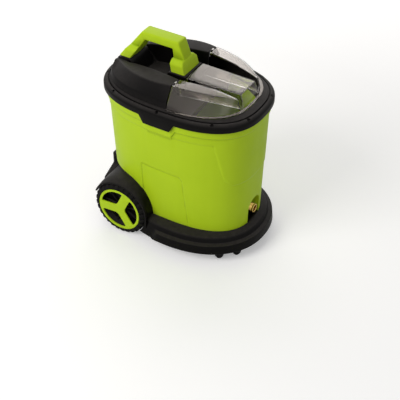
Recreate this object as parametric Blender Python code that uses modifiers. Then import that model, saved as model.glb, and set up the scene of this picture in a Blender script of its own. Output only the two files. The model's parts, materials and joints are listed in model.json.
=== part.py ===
"""Cordless pressure washer: a water tank on two wheels under a rim, a hinged clear lid and a cowl.

Metres, +Z up.  +X is the end with the brass outlet, the wheels are at the other end, and the
machine is the same on both sides of the plane Y = 0, apart from the switch and its board.
"""

import math

import bmesh
import bpy
from mathutils import Matrix, Vector

# ---------------------------------------------------------------- driving dimensions

FIT = 0.0003                # clearance between pieces that touch
SEAT_GAP = 0.0006           # clearance under the rim, whose seat twists round the tabs
CUT_REACH = 0.4             # how far a cutter runs past what it cuts

# Outlines seen from above: centre along X, half length, half width, power of the curve.
TANK_X = -0.006
OUTLINE_POWER = 2.6
TANK_TOP_HALF = (0.194, 0.133)
TANK_FOOT_HALF = (0.185, 0.118)
RIM_HALF = (0.203, 0.142)
THROAT_X = -0.016
THROAT_HALF = (0.178, 0.123)
SKIRT_X = 0.012
SKIRT_HALF = (0.200, 0.160)
SKIRT_POWER = 2.2
RING_STEPS = 44             # points round an outline, before the tab's corners

# Heights of the stack.
SKIRT_Z = 0.028
TRAY_FLOOR_Z = 0.036
TRAY_FLOOR = 0.004
TANK_FOOT_Z = 0.068
TANK_FLOOR_Z = 0.126
TANK_FLOOR = 0.004
RIM_Z = 0.377
RIM_TOP_Z = 0.4015
LID_Z = RIM_TOP_Z + FIT

# Tank.
TANK_WALL = 0.004
LIP_HEIGHT = 0.020
LIP_PROUD = 0.003
PANEL_DEPTH = 0.0012
SIDE_PANEL_DEPTH = 0.0010
RABBET_WIDTH = 0.0040
RABBET_DEPTH = 0.0026
PANEL_LINE_Z = 0.335
FRONT_LINE_Z = 0.213

# Tab of the rim, halfway along each side.
TAB_HALF_TOP = 0.0465
TAB_HALF_FOOT = 0.035
TAB_DROP = 0.020

# Rim.
RIM_SHOULDER = 0.004
RIM_GROOVE_INSET = 0.010
RIM_GROOVE = 0.0025
RIM_PLATE = 0.0035
RIM_SEAT_INSET = 0.0135
THROAT_WALL = 0.0025
THROAT_SKIRT_Z = 0.352
RIM_SCREWS = 10
SCREW_HEAD = 0.0032
SCREW_POCKET = 0.0040

# Base tray.
LEDGE_Z = 0.071
TIER_Z = (0.031, 0.0435, 0.0460, 0.0635)
TIER_INSET = (0.0000, 0.0010, 0.0145, 0.0160)
TIER_START_X = -0.018       # the lower tier begins here, in front of the wheel
SKIRT_WALL = 0.0035
FOOT_RADIUS = 0.0145
FOOT_INSET = 0.0215         # from the skirt's outline to the middle of a foot
FOOT_TURNS = {"outer": math.radians(44.5), "inner": math.radians(62)}

# Wheels.
WHEEL_X = -0.118
WHEEL_RADIUS = 0.072
WHEEL_OUTER_Y = 0.151
TYRE_WIDTH = 0.036
TYRE_BORE = 0.0592
LUGS = 28
LUG_DEPTH = 0.0022
WELL_GAP = 0.0025
AXLE_RADIUS = 0.005
COVER_RADIUS = 0.0585
COVER_RING = 0.0065
COVER_THICK = 0.0035
SPOKE_ANGLE = math.radians(64)
SPOKE_HALF = 0.0065
SPOKE_FLARE = 0.22
OPENING_CORNER = 0.0045

# Wheel housings, and the power housing between them.
FENDER_HALF = (0.0770, 0.0860)      # half length and height of the arch over a wheel
FENDER_LIP_HALF = (0.0768, 0.0780)
FENDER_END_Z = 0.102                # the arch stops here behind the wheel
FENDER_OUTER_Y = 0.147
FENDER_SHOULDER_Y = 0.128
FENDER_GAP = 0.0015
HOUSING_WALL = 0.004
WELL_INNER_Y = 0.111
HOUSING_REAR_X = -0.198
HOUSING_HALF_WIDTH = 0.098
HOUSING_SIDE_Z = 0.108
HOUSING_SHOULDER = (0.056, 0.127)   # half width and height where the sloped sides turn up
HOUSING_TOP = (0.048, 0.152)
HOUSING_BEVEL = 0.004

# Battery and its bay.
PACK_LENGTH = 0.104
PACK_HALF_WIDTH = 0.037
PACK_Z = (0.0818, 0.1412)
PACK_PROUD = 0.014
BAY_WALL = 0.003
BAY_GAP = 0.0006
BUTTON_SIZE = (0.008, 0.034, 0.013)
BUTTON_DROP = 0.019         # from the pack's top to the button's middle
BUTTON_TRAVEL = 0.0025
BLADE = (0.014, 0.0012, 0.007)
BLADE_Y = 0.018
BLADE_DROP = 0.024

# Switch, board and lead.
SWITCH_Y = 0.068
SWITCH_Z = 0.088
SWITCH_HALF = (0.011, 0.015)
SWITCH_DEPTH = 0.014
BEZEL_RIM = 0.002
BEZEL_PROUD = 0.0025
ROCKER_HALF = (0.008, 0.012)
ROCKER_TILT = math.radians(8)
BOARD_X = -0.168
BOARD_THICK = 0.0016
BOARD_Z = (0.056, 0.104)
BOARD_EAR_Z = (0.081, 0.096)
BOARD_EAR = 0.005
LEAD_RADIUS = 0.003
LEAD_ROOM = 0.002           # round the lead where it passes a wall
LEAD_Y = 0.045
LEAD_Z = 0.060
LEAD_BOARD_Y = 0.074
LEAD_BOARD_Z = 0.080

# Pump line.
PUMP_Z = 0.078
MOTOR_RADIUS = 0.026
MOTOR_X = (-0.0235, 0.058)
PUMP_RADIUS = 0.029
PUMP_X = (0.0583, 0.096)
MANIFOLD_X = (0.0963, 0.124)
MANIFOLD_HALF_WIDTH = 0.024
MANIFOLD_Z = (0.056, 0.107)
INLET_X = 0.108
HOSE_WALL = 0.002
SPIGOT_RADIUS = 0.0080
OUTLET_Z = 0.098
PIPE_RADIUS = 0.0058

# Outlet and its recess.
RECESS_BACK_X = 0.146
RECESS_HALF_WIDTH = 0.027
RECESS_TOP_Z = 0.134
OUTLET_STEM = 0.0078
OUTLET_HEX = 0.0145
OUTLET_HEX_LENGTH = 0.009
OUTLET_TUBE = 0.0105
OUTLET_BORE = 0.0068
OUTLET_PORT = 0.0035        # the narrow bore behind the open mouth
OUTLET_NUT = 0.0130
OUTLET_NUT_LENGTH = 0.005
OUTLET_STEM_REACH = 0.010   # how far the stem runs behind the recess's face
OUTLET_END_X = 0.181

# Cowl, lid and hinge.
HINGE_X = 0.0108
HINGE_Z = 0.4485
BARREL_RADIUS = 0.0032
PIN_RADIUS = 0.0014
LID_WALL = 0.0025
COWL_WALL = 0.0030
SPLIT_GAP = 0.0018          # from the hinge axis to each shell's edge
SPINE_HALF = 0.037
SPINE_FRONT_HALF = 0.033
SPINE_Z = 0.4375
RIDGE_Z = 0.450
RIDGE_TIP_Z = 0.431
RIDGE_IN = 0.066
RIDGE_TIP = 0.040
RIDGE_WIDTH = 0.031
CREASE_Z = 0.419
VALLEY_Z = 0.406
RECESS_FLOOR_Z = 0.396
COWL_TIP_X = -0.166
LID_FRONT_X = 0.151
FLANGE = 0.006
KNUCKLES = (0.0700, 0.0780, 0.0860, 0.0940)

# Deck.
DECK_Z = 0.371
DECK_THICK = 0.003
DECK_FRONT_X = 0.049

# Handle.
GRIP_HALF_WIDTH = 0.0175
FOOT_HALF_WIDTH = 0.0335
HANDLE_Z = 0.508
GRIP_DEPTH = 0.021
HANDLE_FOOT_Z = SPINE_Z + FIT
BOSS_HEIGHT = 0.029
REAR_FOOT_X = (-0.174, -0.143)
FRONT_FOOT_X = (-0.033, 0.004)
GRIP_X = (-0.119, -0.021)
GRIP_UNDER_X = (-0.112, -0.038)
FINGER_RIBS = 11

# Cowl, as (x, value) steps from its tip: height of the spine and of the valley beside it, half
# width of the spine, and the places of the sections.
COWL_SPINE = ((-0.178, 0.431), (-0.166, 0.436), (-0.158, SPINE_Z), (-0.143, SPINE_Z), (-0.137, 0.430),
              (-0.124, RECESS_FLOOR_Z), (-0.050, RECESS_FLOOR_Z), (-0.040, SPINE_Z - 0.004),
              (-0.036, SPINE_Z), (0.1, SPINE_Z))
COWL_VALLEY = ((-0.178, 0.4295), (-0.150, 0.430), (-0.136, 0.418), (-0.118, RECESS_FLOOR_Z + 0.001),
               (-0.036, RECESS_FLOOR_Z + 0.004), (0.012, VALLEY_Z - 0.001))
COWL_SPINE_HALF = ((-0.178, 0.0335), (-0.166, 0.0345), (-0.143, 0.0355), (-0.124, SPINE_HALF),
                   (0.1, SPINE_HALF))
COWL_ROWS = (-0.178, -0.166, -0.157, -0.143, -0.137, -0.124, -0.104, -0.076, -0.050, -0.040, -0.036,
             -0.012, 0.012)

# ---------------------------------------------------------------- finishes

FINISHES = {
    "green_plastic": ((0.42, 0.62, 0.05), 0.42, 0.0),
    "black_plastic": ((0.022, 0.021, 0.021), 0.48, 0.0),
    "clear_plastic": ((0.80, 0.78, 0.75), 0.08, 0.0),
    "rubber": ((0.020, 0.020, 0.020), 0.75, 0.0),
    "steel": ((0.55, 0.55, 0.56), 0.35, 1.0),
    "motor_steel": ((0.30, 0.31, 0.32), 0.45, 1.0),
    "aluminium": ((0.72, 0.72, 0.73), 0.40, 1.0),
    "brass": ((0.72, 0.50, 0.20), 0.30, 1.0),
    "circuit_board": ((0.03, 0.18, 0.07), 0.50, 0.0),
}

# ---------------------------------------------------------------- scene helpers

for item in list(bpy.data.objects):
    bpy.data.objects.remove(item, do_unlink=True)

PARTS = bpy.data.collections.new("pressure_washer")
CUTTERS = bpy.data.collections.new("cutters")
bpy.context.scene.collection.children.link(PARTS)
bpy.context.scene.collection.children.link(CUTTERS)


def finish(name):
    """The Principled material of one finish, made once."""
    if name in bpy.data.materials:
        return bpy.data.materials[name]
    colour, roughness, metallic = FINISHES[name]
    made = bpy.data.materials.new(name)
    made.use_nodes = True
    shader = made.node_tree.nodes["Principled BSDF"]
    shader.inputs["Base Color"].default_value = (*colour, 1.0)
    shader.inputs["Roughness"].default_value = roughness
    shader.inputs["Metallic"].default_value = metallic
    made.diffuse_color = (*colour, 1.0)
    return made


def place(name, mesh, finish_name, smooth=35):
    """Link a mesh as a part, or as a cutter where it has no finish."""
    made = bpy.data.objects.new(name, mesh)
    if finish_name is None:
        CUTTERS.objects.link(made)
        made.hide_render = True
        made.display_type = "WIRE"
        return made
    PARTS.objects.link(made)
    mesh.materials.append(finish(finish_name))
    if smooth:
        mesh.shade_smooth()
        mesh.set_sharp_from_angle(angle=math.radians(smooth))
    return made


def take(build, name, finish_name=None, smooth=35):
    """Turn a finished bmesh into an object."""
    bmesh.ops.recalc_face_normals(build, faces=build.faces)
    mesh = bpy.data.meshes.new(name)
    build.to_mesh(mesh)
    build.free()
    return place(name, mesh, finish_name, smooth)


def box(name, low, high, finish_name=None, bevel=0.0, segments=1):
    """A box between two corners, with its edges rounded where asked."""
    low, high = Vector(low), Vector(high)
    build = bmesh.new()
    bmesh.ops.create_cube(build, size=1.0)
    bmesh.ops.scale(build, vec=high - low, verts=build.verts)
    if bevel:
        bmesh.ops.bevel(build, geom=build.edges[:], offset=bevel, segments=segments,
                        affect="EDGES", profile=0.5)
    made = take(build, name, finish_name)
    made.location = (low + high) / 2
    return made


def rod(name, start, end, radius, finish_name=None, sides=16, end_radius=None):
    """A round or tapered bar between two points."""
    start, end = Vector(start), Vector(end)
    along = end - start
    build = bmesh.new()
    bmesh.ops.create_cone(build, cap_ends=True, segments=sides, radius1=radius,
                          radius2=radius if end_radius is None else end_radius,
                          depth=along.length)
    made = take(build, name, finish_name)
    made.location = (start + end) / 2
    made.rotation_euler = along.to_track_quat("Z", "Y").to_euler()
    return made


def turned(name, profile, origin, axis, finish_name=None, steps=32, closed=True):
    """Turn a profile of (radius, height) points about an axis; it runs top to bottom outside."""
    build = bmesh.new()
    points = [build.verts.new((radius, 0.0, height)) for radius, height in profile]
    for first, second in zip(points, points[1:]):
        build.edges.new((first, second))
    if closed:
        build.edges.new((points[-1], points[0]))
    mesh = bpy.data.meshes.new(name)
    build.to_mesh(mesh)
    build.free()
    made = place(name, mesh, finish_name)
    made.location = origin
    made.rotation_euler = Vector(axis).to_track_quat("Z", "Y").to_euler()
    screw = made.modifiers.new("turn", "SCREW")
    screw.steps = steps
    screw.render_steps = steps
    screw.use_merge_vertices = True
    screw.merge_threshold = 0.0001
    return made


def prism(name, outlines, half_depth, finish_name=None, upright=True, at=0.0):
    """Flat outlines, the first the outside and the rest holes, given thickness.

    Upright outlines hold (x, z) points and are thick along Y; flat ones hold (x, y) points.
    """
    curve = bpy.data.curves.new(name, "CURVE")
    curve.dimensions = "2D"
    curve.fill_mode = "BOTH"
    curve.extrude = half_depth
    for outline in outlines:
        spline = curve.splines.new("POLY")
        spline.points.add(len(outline) - 1)
        for point, (first, second) in zip(spline.points, outline):
            point.co = (first, second, 0.0, 1.0)
        spline.use_cyclic_u = True
    return solidified(name, curve, finish_name, upright, at)


def solidified(name, curve, finish_name, upright=False, at=0.0):
    """A curve object made into a closed mesh object of the same place."""
    guide = bpy.data.objects.new(name + "_guide", curve)
    bpy.context.scene.collection.objects.link(guide)
    guide.rotation_euler = (math.pi / 2, 0.0, 0.0) if upright else (0.0, 0.0, 0.0)
    guide.location = (0.0, at, 0.0) if upright else (0.0, 0.0, at)
    bpy.context.view_layer.update()
    shaped = guide.evaluated_get(bpy.context.evaluated_depsgraph_get())
    build = bmesh.new()
    mesh = bpy.data.meshes.new_from_object(shaped)
    build.from_mesh(mesh)
    bpy.data.meshes.remove(mesh)
    bmesh.ops.remove_doubles(build, verts=build.verts, dist=0.00001)
    matrix = guide.matrix_world.copy()
    bpy.data.objects.remove(guide)
    made = take(build, name, finish_name)
    made.matrix_world = matrix
    return made


def tube(name, points, radius, finish_name, sides=2):
    """A round tube or lead along a list of points, with closed ends."""
    curve = bpy.data.curves.new(name, "CURVE")
    curve.dimensions = "3D"
    curve.bevel_depth = radius
    curve.bevel_resolution = sides
    curve.use_fill_caps = True
    spline = curve.splines.new("POLY")
    spline.points.add(len(points) - 1)
    for point, place_ in zip(spline.points, points):
        point.co = (*place_, 1.0)
    return solidified(name, curve, finish_name)


def smooth_route(points, steps):
    """Points along a Catmull-Rom curve through a route's own points."""
    points = [Vector(point) for point in points]
    ends = [2 * points[0] - points[1], *points, 2 * points[-1] - points[-2]]
    route = []
    for before, start, end, after in zip(ends, ends[1:], ends[2:], ends[3:]):
        for step in range(steps):
            t = step / steps
            route.append(0.5 * (2 * start + (end - before) * t
                                + (2 * before - 5 * start + 4 * end - after) * t ** 2
                                + (3 * start - before - 3 * end + after) * t ** 3))
    return [*route, points[-1]]


def combine(target, tool, operation, solver="EXACT"):
    """Add one Boolean to a part."""
    change = target.modifiers.new(operation.lower(), "BOOLEAN")
    change.operation = operation
    change.solver = solver
    change.object = tool
    return target


def cut(target, *tools, solver="EXACT"):
    for tool in tools:
        combine(target, tool, "DIFFERENCE", solver)
    return target


def join(target, *tools, solver="EXACT"):
    for tool in tools:
        combine(target, tool, "UNION", solver)
    return target


# ---------------------------------------------------------------- outlines and lofts

def tab_angles(power):
    """Angles at which an outline passes the four corners of a tab, and how far it drops there."""
    corners = []
    for offset, share in ((TAB_HALF_TOP, 0.0), (TAB_HALF_FOOT, 1.0)):
        for side in (1, -1):
            ratio = side * offset / RIM_HALF[0]
            angle = math.acos(math.copysign(abs(ratio) ** (power / 2), ratio))
            corners += [(angle, share), (2 * math.pi - angle, share)]
    return corners


def ring_plan():
    """(angle, share of the tab's drop) for every point round the rim and the tank."""
    corners = tab_angles(OUTLINE_POWER)
    foot = min(abs(math.cos(angle)) for angle, share in corners if share)
    foot = max(foot, *(abs(math.cos(angle)) for angle, share in corners if share))
    plan = list(corners)
    for step in range(RING_STEPS):
        angle = 2 * math.pi * step / RING_STEPS
        if all(abs(angle - other) > 0.035 for other, share in corners):
            plan.append((angle, 1.0 if abs(math.cos(angle)) < foot else 0.0))
    return sorted(plan)


RING = ring_plan()


def ring(shape, z, inset=0.0, drop=0.0):
    """Points round an outline, moved in by an inset; a tab drops the ones halfway along."""
    centre, half_length, half_width, power = shape
    points = []
    for angle, share in RING:
        cosine, sine = math.cos(angle), math.sin(angle)
        x = centre + (half_length - inset) * math.copysign(abs(cosine) ** (2 / power), cosine)
        y = (half_width - inset) * math.copysign(abs(sine) ** (2 / power), sine)
        points.append(Vector((x, y, z - drop * share)))
    return points


def blend_shapes(first, second, share):
    return tuple(a + (b - a) * share for a, b in zip(first, second))


TANK_TOP = (TANK_X, *TANK_TOP_HALF, OUTLINE_POWER)
TANK_FOOT = (TANK_X, *TANK_FOOT_HALF, OUTLINE_POWER)
RIM = (TANK_X, *RIM_HALF, OUTLINE_POWER)
THROAT = (THROAT_X, *THROAT_HALF, OUTLINE_POWER)
SKIRT = (SKIRT_X, *SKIRT_HALF, SKIRT_POWER)


def tank_at(z):
    """The tank's outline at a height."""
    return blend_shapes(TANK_FOOT, TANK_TOP, (z - TANK_FOOT_Z) / (RIM_Z - TANK_FOOT_Z))


def loft(name, rings, finish_name=None, endless=False, smooth=35):
    """A solid skin over rings of equal length, capped at both ends unless it is endless."""
    build = bmesh.new()
    loops = [[build.verts.new(point) for point in points] for points in rings]
    count = len(loops[0])
    pairs = list(zip(loops, loops[1:]))
    if endless:
        pairs.append((loops[-1], loops[0]))
    else:
        build.faces.new(loops[0])
        build.faces.new(list(reversed(loops[-1])))
    for lower, upper in pairs:
        for i in range(count):
            j = (i + 1) % count
            build.faces.new((lower[i], lower[j], upper[j], upper[i]))
    return take(build, name, finish_name, smooth)


# ---------------------------------------------------------------- tank

def fender_outline(grow, rear=None, arc_steps=18, half=FENDER_HALF, low=SKIRT_Z):
    """Arch over a wheel as (x, z); with a rear, its top runs level to there."""
    half_length, height = (size + grow for size in half)
    turn = math.pi if rear is None else math.pi / 2
    steps = arc_steps if rear is None else arc_steps // 2
    points = [(WHEEL_X + half_length, low)]
    for step in range(steps + 1):
        angle = turn * step / steps
        points.append((WHEEL_X + half_length * math.cos(angle),
                       WHEEL_RADIUS + height * math.sin(angle)))
    if rear is None:
        points.append((WHEEL_X - half_length, low))
    else:
        points += [(rear, WHEEL_RADIUS + height), (rear, low)]
    return points


def recess_outline(grow):
    """Arch of the outlet recess as (y, z), open at the bottom."""
    half = RECESS_HALF_WIDTH + grow
    crown_z = RECESS_TOP_Z + grow
    spring_z = crown_z - half
    points = [(-half, 0.0)]
    for step in range(13):
        angle = math.pi * (1 - step / 12)
        points.append((half * math.cos(angle), spring_z + half * math.sin(angle)))
    points.append((half, 0.0))
    return points


def recess_block(name, grow):
    """Solid of the outlet recess, from its back wall out past the front of the tank."""
    back = RECESS_BACK_X - grow
    rings = []
    for x in (back, back + CUT_REACH):
        rings.append([Vector((x, y, z)) for y, z in recess_outline(grow)])
    return loft(name, rings)


def tank_envelope(name, inset, low, high):
    """Capped solid of the tank's outside, moved in by an inset."""
    return loft(name, [ring(tank_at(z), z, inset) for z in (low, high)])


def panel_cutter(name, outline, depth):
    """What lies inside an upright outline and outside the tank moved in by a depth."""
    cutter = prism(name, [outline], CUT_REACH)
    core = tank_envelope(name + "_core", depth, -0.1, RIM_Z + 0.1)
    return cut(cutter, core, solver="MANIFOLD")


def make_tank():
    lip_foot = RIM_Z - LIP_HEIGHT
    top = RIM_Z - SEAT_GAP
    mouth = tank_at(RIM_Z)
    rabbet = TANK_WALL + LIP_PROUD - RABBET_WIDTH - LIP_PROUD
    tank = loft("tank_shell", [
        ring(tank_at(TANK_FLOOR_Z - TANK_FLOOR), TANK_FLOOR_Z - TANK_FLOOR, TANK_WALL),
        ring(tank_at(TANK_FOOT_Z), TANK_FOOT_Z, TANK_WALL),
        ring(tank_at(TANK_FOOT_Z), TANK_FOOT_Z),
        ring(tank_at(lip_foot), lip_foot - LIP_PROUD, 0.0, TAB_DROP),
        ring(tank_at(lip_foot), lip_foot, -LIP_PROUD, TAB_DROP),
        ring(mouth, top, -LIP_PROUD, TAB_DROP),
        ring(mouth, top, rabbet, TAB_DROP),
        ring(mouth, top - RABBET_DEPTH, rabbet, TAB_DROP),
        ring(mouth, top - RABBET_DEPTH, TANK_WALL, TAB_DROP),
        ring(tank_at(TANK_FLOOR_Z), TANK_FLOOR_Z, TANK_WALL),
    ], "green_plastic")
    below_line = [(-CUT_REACH, PANEL_LINE_Z), (0.127, PANEL_LINE_Z), (0.146, 0.232),
                  (0.160, FRONT_LINE_Z), (CUT_REACH, FRONT_LINE_Z), (CUT_REACH, 0.0),
                  (-CUT_REACH, 0.0)]
    side_panel = [(-0.063, 0.222), (0.042, 0.220), (0.049, 0.211), (0.066, 0.02), (-0.070, 0.02),
                  (-0.067, 0.213)]
    housing_cover = prism("housing_cover", [fender_outline(FENDER_GAP + TANK_WALL, -CUT_REACH)],
                          CUT_REACH)
    outlet_cover = recess_block("outlet_cover", TANK_WALL)
    covers = (housing_cover, outlet_cover)
    for index, cover in enumerate(covers):
        limit = tank_envelope("cover_limit_%d" % index, TANK_WALL * 0.7, TANK_FOOT_Z + 0.0006,
                              RIM_Z - 0.1)
        combine(cover, limit, "INTERSECT", "MANIFOLD")
    cut(tank, panel_cutter("lower_panel", below_line, PANEL_DEPTH),
        panel_cutter("side_panel", side_panel, PANEL_DEPTH + SIDE_PANEL_DEPTH), solver="MANIFOLD")
    join(tank, *covers, solver="MANIFOLD")
    cut(tank, prism("housing_space", [fender_outline(FENDER_GAP, -CUT_REACH, low=-0.1)], CUT_REACH),
        recess_block("outlet_space", 0.0),
        rod("outlet_hole", (RECESS_BACK_X - 0.03, 0, OUTLET_Z), (RECESS_BACK_X + 0.03, 0, OUTLET_Z),
            OUTLET_STEM + FIT),
        rod("inlet_hole", (INLET_X, 0, TANK_FLOOR_Z - 0.02), (INLET_X, 0, TANK_FLOOR_Z + 0.02),
            SPIGOT_RADIUS + FIT), solver="MANIFOLD")
    return tank


def make_strainer():
    """Strainer basket on the tank floor, with the spigot that takes the suction hose."""
    basket, flange = 0.015, 0.018
    seat, top, spigot_foot = TANK_FLOOR_Z + FIT, TANK_FLOOR_Z + 0.028, TANK_FLOOR_Z - 0.014
    bore = SPIGOT_RADIUS - 0.002
    strainer = turned("tank_strainer", [
        (basket - 0.003, top), (basket, top - 0.003), (basket, seat + 0.003), (flange, seat + 0.003),
        (flange, seat), (SPIGOT_RADIUS, seat), (SPIGOT_RADIUS, spigot_foot), (bore, spigot_foot),
        (bore, seat + 0.002), (basket - 0.002, seat + 0.005), (basket - 0.002, top - 0.004),
        (basket - 0.004, top - 0.002), (0.004, top - 0.002), (0.004, top),
    ], (INLET_X, 0, 0), (0, 0, 1), "black_plastic", 16)
    slot_low, slot_high = seat + 0.007, top - 0.007
    for index in range(4):
        turn = math.pi * index / 4
        slot = box("strainer_slot_%d" % index, (-0.03, -0.0016, -0.5 * (slot_high - slot_low)),
                   (0.03, 0.0016, 0.5 * (slot_high - slot_low)))
        slot.location = (INLET_X, 0, (slot_low + slot_high) / 2)
        slot.rotation_euler = (0, 0, turn)
        cut(strainer, slot)
    return strainer


# ---------------------------------------------------------------- rim

def make_rim():
    seat_top = RIM_Z + 0.014
    rim = loft("rim_frame", [
        ring(RIM, RIM_Z, 0.0, TAB_DROP),
        ring(RIM, RIM_Z + 0.014, 0.0),
        ring(RIM, RIM_Z + 0.019, RIM_SHOULDER),
        ring(RIM, RIM_Z + 0.0205, RIM_GROOVE_INSET),
        ring(RIM, RIM_Z + 0.0205 - RIM_GROOVE, RIM_GROOVE_INSET + 0.0005),
        ring(RIM, RIM_Z + 0.0205 - RIM_GROOVE, RIM_GROOVE_INSET + 0.0020),
        ring(RIM, RIM_Z + 0.0215, RIM_GROOVE_INSET + 0.0030),
        ring(THROAT, RIM_TOP_Z, 0.0),
        ring(THROAT, RIM_TOP_Z, THROAT_WALL),
        ring(THROAT, THROAT_SKIRT_Z, THROAT_WALL),
        ring(THROAT, THROAT_SKIRT_Z, 0.0),
        ring(THROAT, RIM_TOP_Z - RIM_PLATE, 0.0),
        ring(RIM, seat_top, RIM_SEAT_INSET),
        ring(RIM, RIM_Z, RIM_SEAT_INSET, TAB_DROP),
    ], "black_plastic", endless=True)
    for index, (x, y) in enumerate(rim_screw_spots()):
        pocket = rod("pocket_%d" % index, (x, y, RIM_Z + 0.0165), (x, y, RIM_Z + 0.04),
                     SCREW_POCKET, sides=8)
        cut(rim, pocket)
    return rim


def rim_screw_spots():
    """Places of the rim's screws, evenly spaced by angle, on the ledge outside the groove."""
    inset = RIM_GROOVE_INSET - 0.0045
    spots = []
    for index in range(RIM_SCREWS):
        angle = 2 * math.pi * (index + 0.5) / RIM_SCREWS
        cosine, sine = math.cos(angle), math.sin(angle)
        power = 2 / OUTLINE_POWER
        spots.append((TANK_X + (RIM_HALF[0] - inset) * math.copysign(abs(cosine) ** power, cosine),
                      (RIM_HALF[1] - inset) * math.copysign(abs(sine) ** power, sine)))
    return spots


def make_seal():
    """Seal in the rabbet of the tank's mouth."""
    mouth = tank_at(RIM_Z)
    outer = TANK_WALL - RABBET_WIDTH + FIT
    low, high = RIM_Z - SEAT_GAP - RABBET_DEPTH + FIT, RIM_Z - SEAT_GAP
    return loft("rim_seal", [
        ring(mouth, low, outer, TAB_DROP), ring(mouth, high, outer, TAB_DROP),
        ring(mouth, high, TANK_WALL, TAB_DROP), ring(mouth, low, TANK_WALL, TAB_DROP),
    ], "rubber", endless=True)


# ---------------------------------------------------------------- base tray, feet and wheels

def make_base():
    """Stepped tray with a wheel housing at each side and the power housing between them."""
    foot = blend_shapes(TANK_FOOT, TANK_TOP, 0.0)
    clear = PANEL_DEPTH - 2 * FIT
    floor_top = TRAY_FLOOR_Z + TRAY_FLOOR
    seat = TANK_FOOT_Z - FIT
    seat_inset = TANK_WALL + 0.002
    tiers = [ring(SKIRT, z, inset) for z, inset in zip(TIER_Z, TIER_INSET)]
    wall = SKIRT_WALL
    base = loft("base_tray", [
        ring(foot, TRAY_FLOOR_Z, seat_inset - wall),
        ring(foot, TIER_Z[-1] + 0.001, seat_inset - wall),
        ring(SKIRT, TIER_Z[-1] - wall, TIER_INSET[-1] + wall),
        ring(SKIRT, TIER_Z[1], TIER_INSET[-1] + wall),
        ring(SKIRT, TIER_Z[1] - wall, TIER_INSET[1] + wall),
        ring(SKIRT, SKIRT_Z, 0.002 + wall),
        ring(SKIRT, SKIRT_Z, 0.002),
        *tiers,
        ring(SKIRT, TIER_Z[-1] + 0.003, TIER_INSET[-1] + 0.003),
        ring(foot, LEDGE_Z, clear),
        ring(foot, seat, clear),
        ring(foot, seat, seat_inset),
        ring(foot, floor_top, seat_inset),
    ], "black_plastic")
    shape_lower_tier(base)
    fender = loft("fender_solid", [
        [Vector((x, side * y, z)) for x, z in fender_outline(0.0, half=half)]
        for side, y, half in (
            (-1, FENDER_OUTER_Y, FENDER_LIP_HALF), (-1, FENDER_SHOULDER_Y, FENDER_HALF),
            (1, FENDER_SHOULDER_Y, FENDER_HALF), (1, FENDER_OUTER_Y, FENDER_LIP_HALF))])
    housing = housing_block("housing_solid", HOUSING_REAR_X, 0.0, SKIRT_Z)
    inner_half = WELL_INNER_Y - HOUSING_WALL
    cavity_front = prism("housing_cavity", [fender_outline(-HOUSING_WALL, low=floor_top)], inner_half)
    cavity_rear = housing_block("housing_cavity_rear", HOUSING_REAR_X + HOUSING_WALL, HOUSING_WALL,
                                floor_top)
    behind = box("behind_housing", (HOUSING_REAR_X - CUT_REACH, -HOUSING_HALF_WIDTH, -CUT_REACH),
                 (HOUSING_REAR_X, HOUSING_HALF_WIDTH, CUT_REACH))
    cut(fender, behind, solver="MANIFOLD")
    cut(cavity_front, box("behind_cavity", (HOUSING_REAR_X - CUT_REACH, -CUT_REACH, -CUT_REACH),
                          (HOUSING_REAR_X + HOUSING_WALL, CUT_REACH, CUT_REACH)), solver="MANIFOLD")
    join(base, fender, housing, solver="MANIFOLD")
    for where, x, y in foot_spots():
        for side in (-1, 1):
            join(base, rod("foot_boss_%s_%d" % (where, side), (x, side * y, TRAY_FLOOR_Z),
                           (x, side * y, TIER_Z[-1] - SKIRT_WALL / 2), FOOT_RADIUS, sides=12,
                           end_radius=FOOT_RADIUS * 0.4), solver="MANIFOLD")
    cut(base, cavity_front, cavity_rear, solver="MANIFOLD")
    for side in (-1, 1):
        well = rod("well_%d" % side, (WHEEL_X, side * WELL_INNER_Y, WHEEL_RADIUS),
                   (WHEEL_X, side * CUT_REACH, WHEEL_RADIUS), WHEEL_RADIUS + WELL_GAP, sides=40)
        near, far = sorted((side * WELL_INNER_Y, side * CUT_REACH))
        behind_wheel = box("behind_wheel_%d" % side, (-CUT_REACH, near, 0.0),
                           (WHEEL_X, far, FENDER_END_Z))
        cut(base, well, behind_wheel, solver="MANIFOLD")
    axle_hole = rod("axle_hole", (WHEEL_X, -CUT_REACH, WHEEL_RADIUS), (WHEEL_X, CUT_REACH, WHEEL_RADIUS),
                    AXLE_RADIUS + FIT)
    half_width = PACK_HALF_WIDTH + BAY_GAP + BAY_WALL + FIT
    low, high = bay_heights()
    past = 5 * HOUSING_WALL
    mouth = box("bay_mouth", (HOUSING_REAR_X - past, -half_width, low - FIT),
                (HOUSING_REAR_X + past, half_width, high + FIT))
    lead_x = WHEEL_X + FENDER_HALF[0]
    lead_hole = rod("lead_hole", (lead_x - past, LEAD_Y, LEAD_Z), (lead_x + past, LEAD_Y, LEAD_Z),
                    LEAD_RADIUS + LEAD_ROOM, sides=12)
    switch_hole = box("switch_hole", (HOUSING_REAR_X - past, SWITCH_Y - SWITCH_HALF[0] - FIT,
                                      SWITCH_Z - SWITCH_HALF[1] - FIT),
                      (HOUSING_REAR_X + past, SWITCH_Y + SWITCH_HALF[0] + FIT,
                       SWITCH_Z + SWITCH_HALF[1] + FIT))
    return cut(base, axle_hole, mouth, lead_hole, switch_hole, solver="MANIFOLD")


def skirt_block(name, inset, x_span, z_span, wall=None):
    """Solid inside the skirt's outline moved in by an inset, or a wall that follows it."""
    block = loft(name, [ring(SKIRT, z, inset) for z in z_span])
    if wall is not None:
        cut(block, loft(name + "_core", [ring(SKIRT, z, inset + wall) for z in (-1.0, 1.0)]),
            solver="MANIFOLD")
    limit = box(name + "_limit", (x_span[0], -CUT_REACH, -CUT_REACH), (x_span[1], CUT_REACH, CUT_REACH))
    return combine(block, limit, "INTERSECT", "MANIFOLD")


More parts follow.
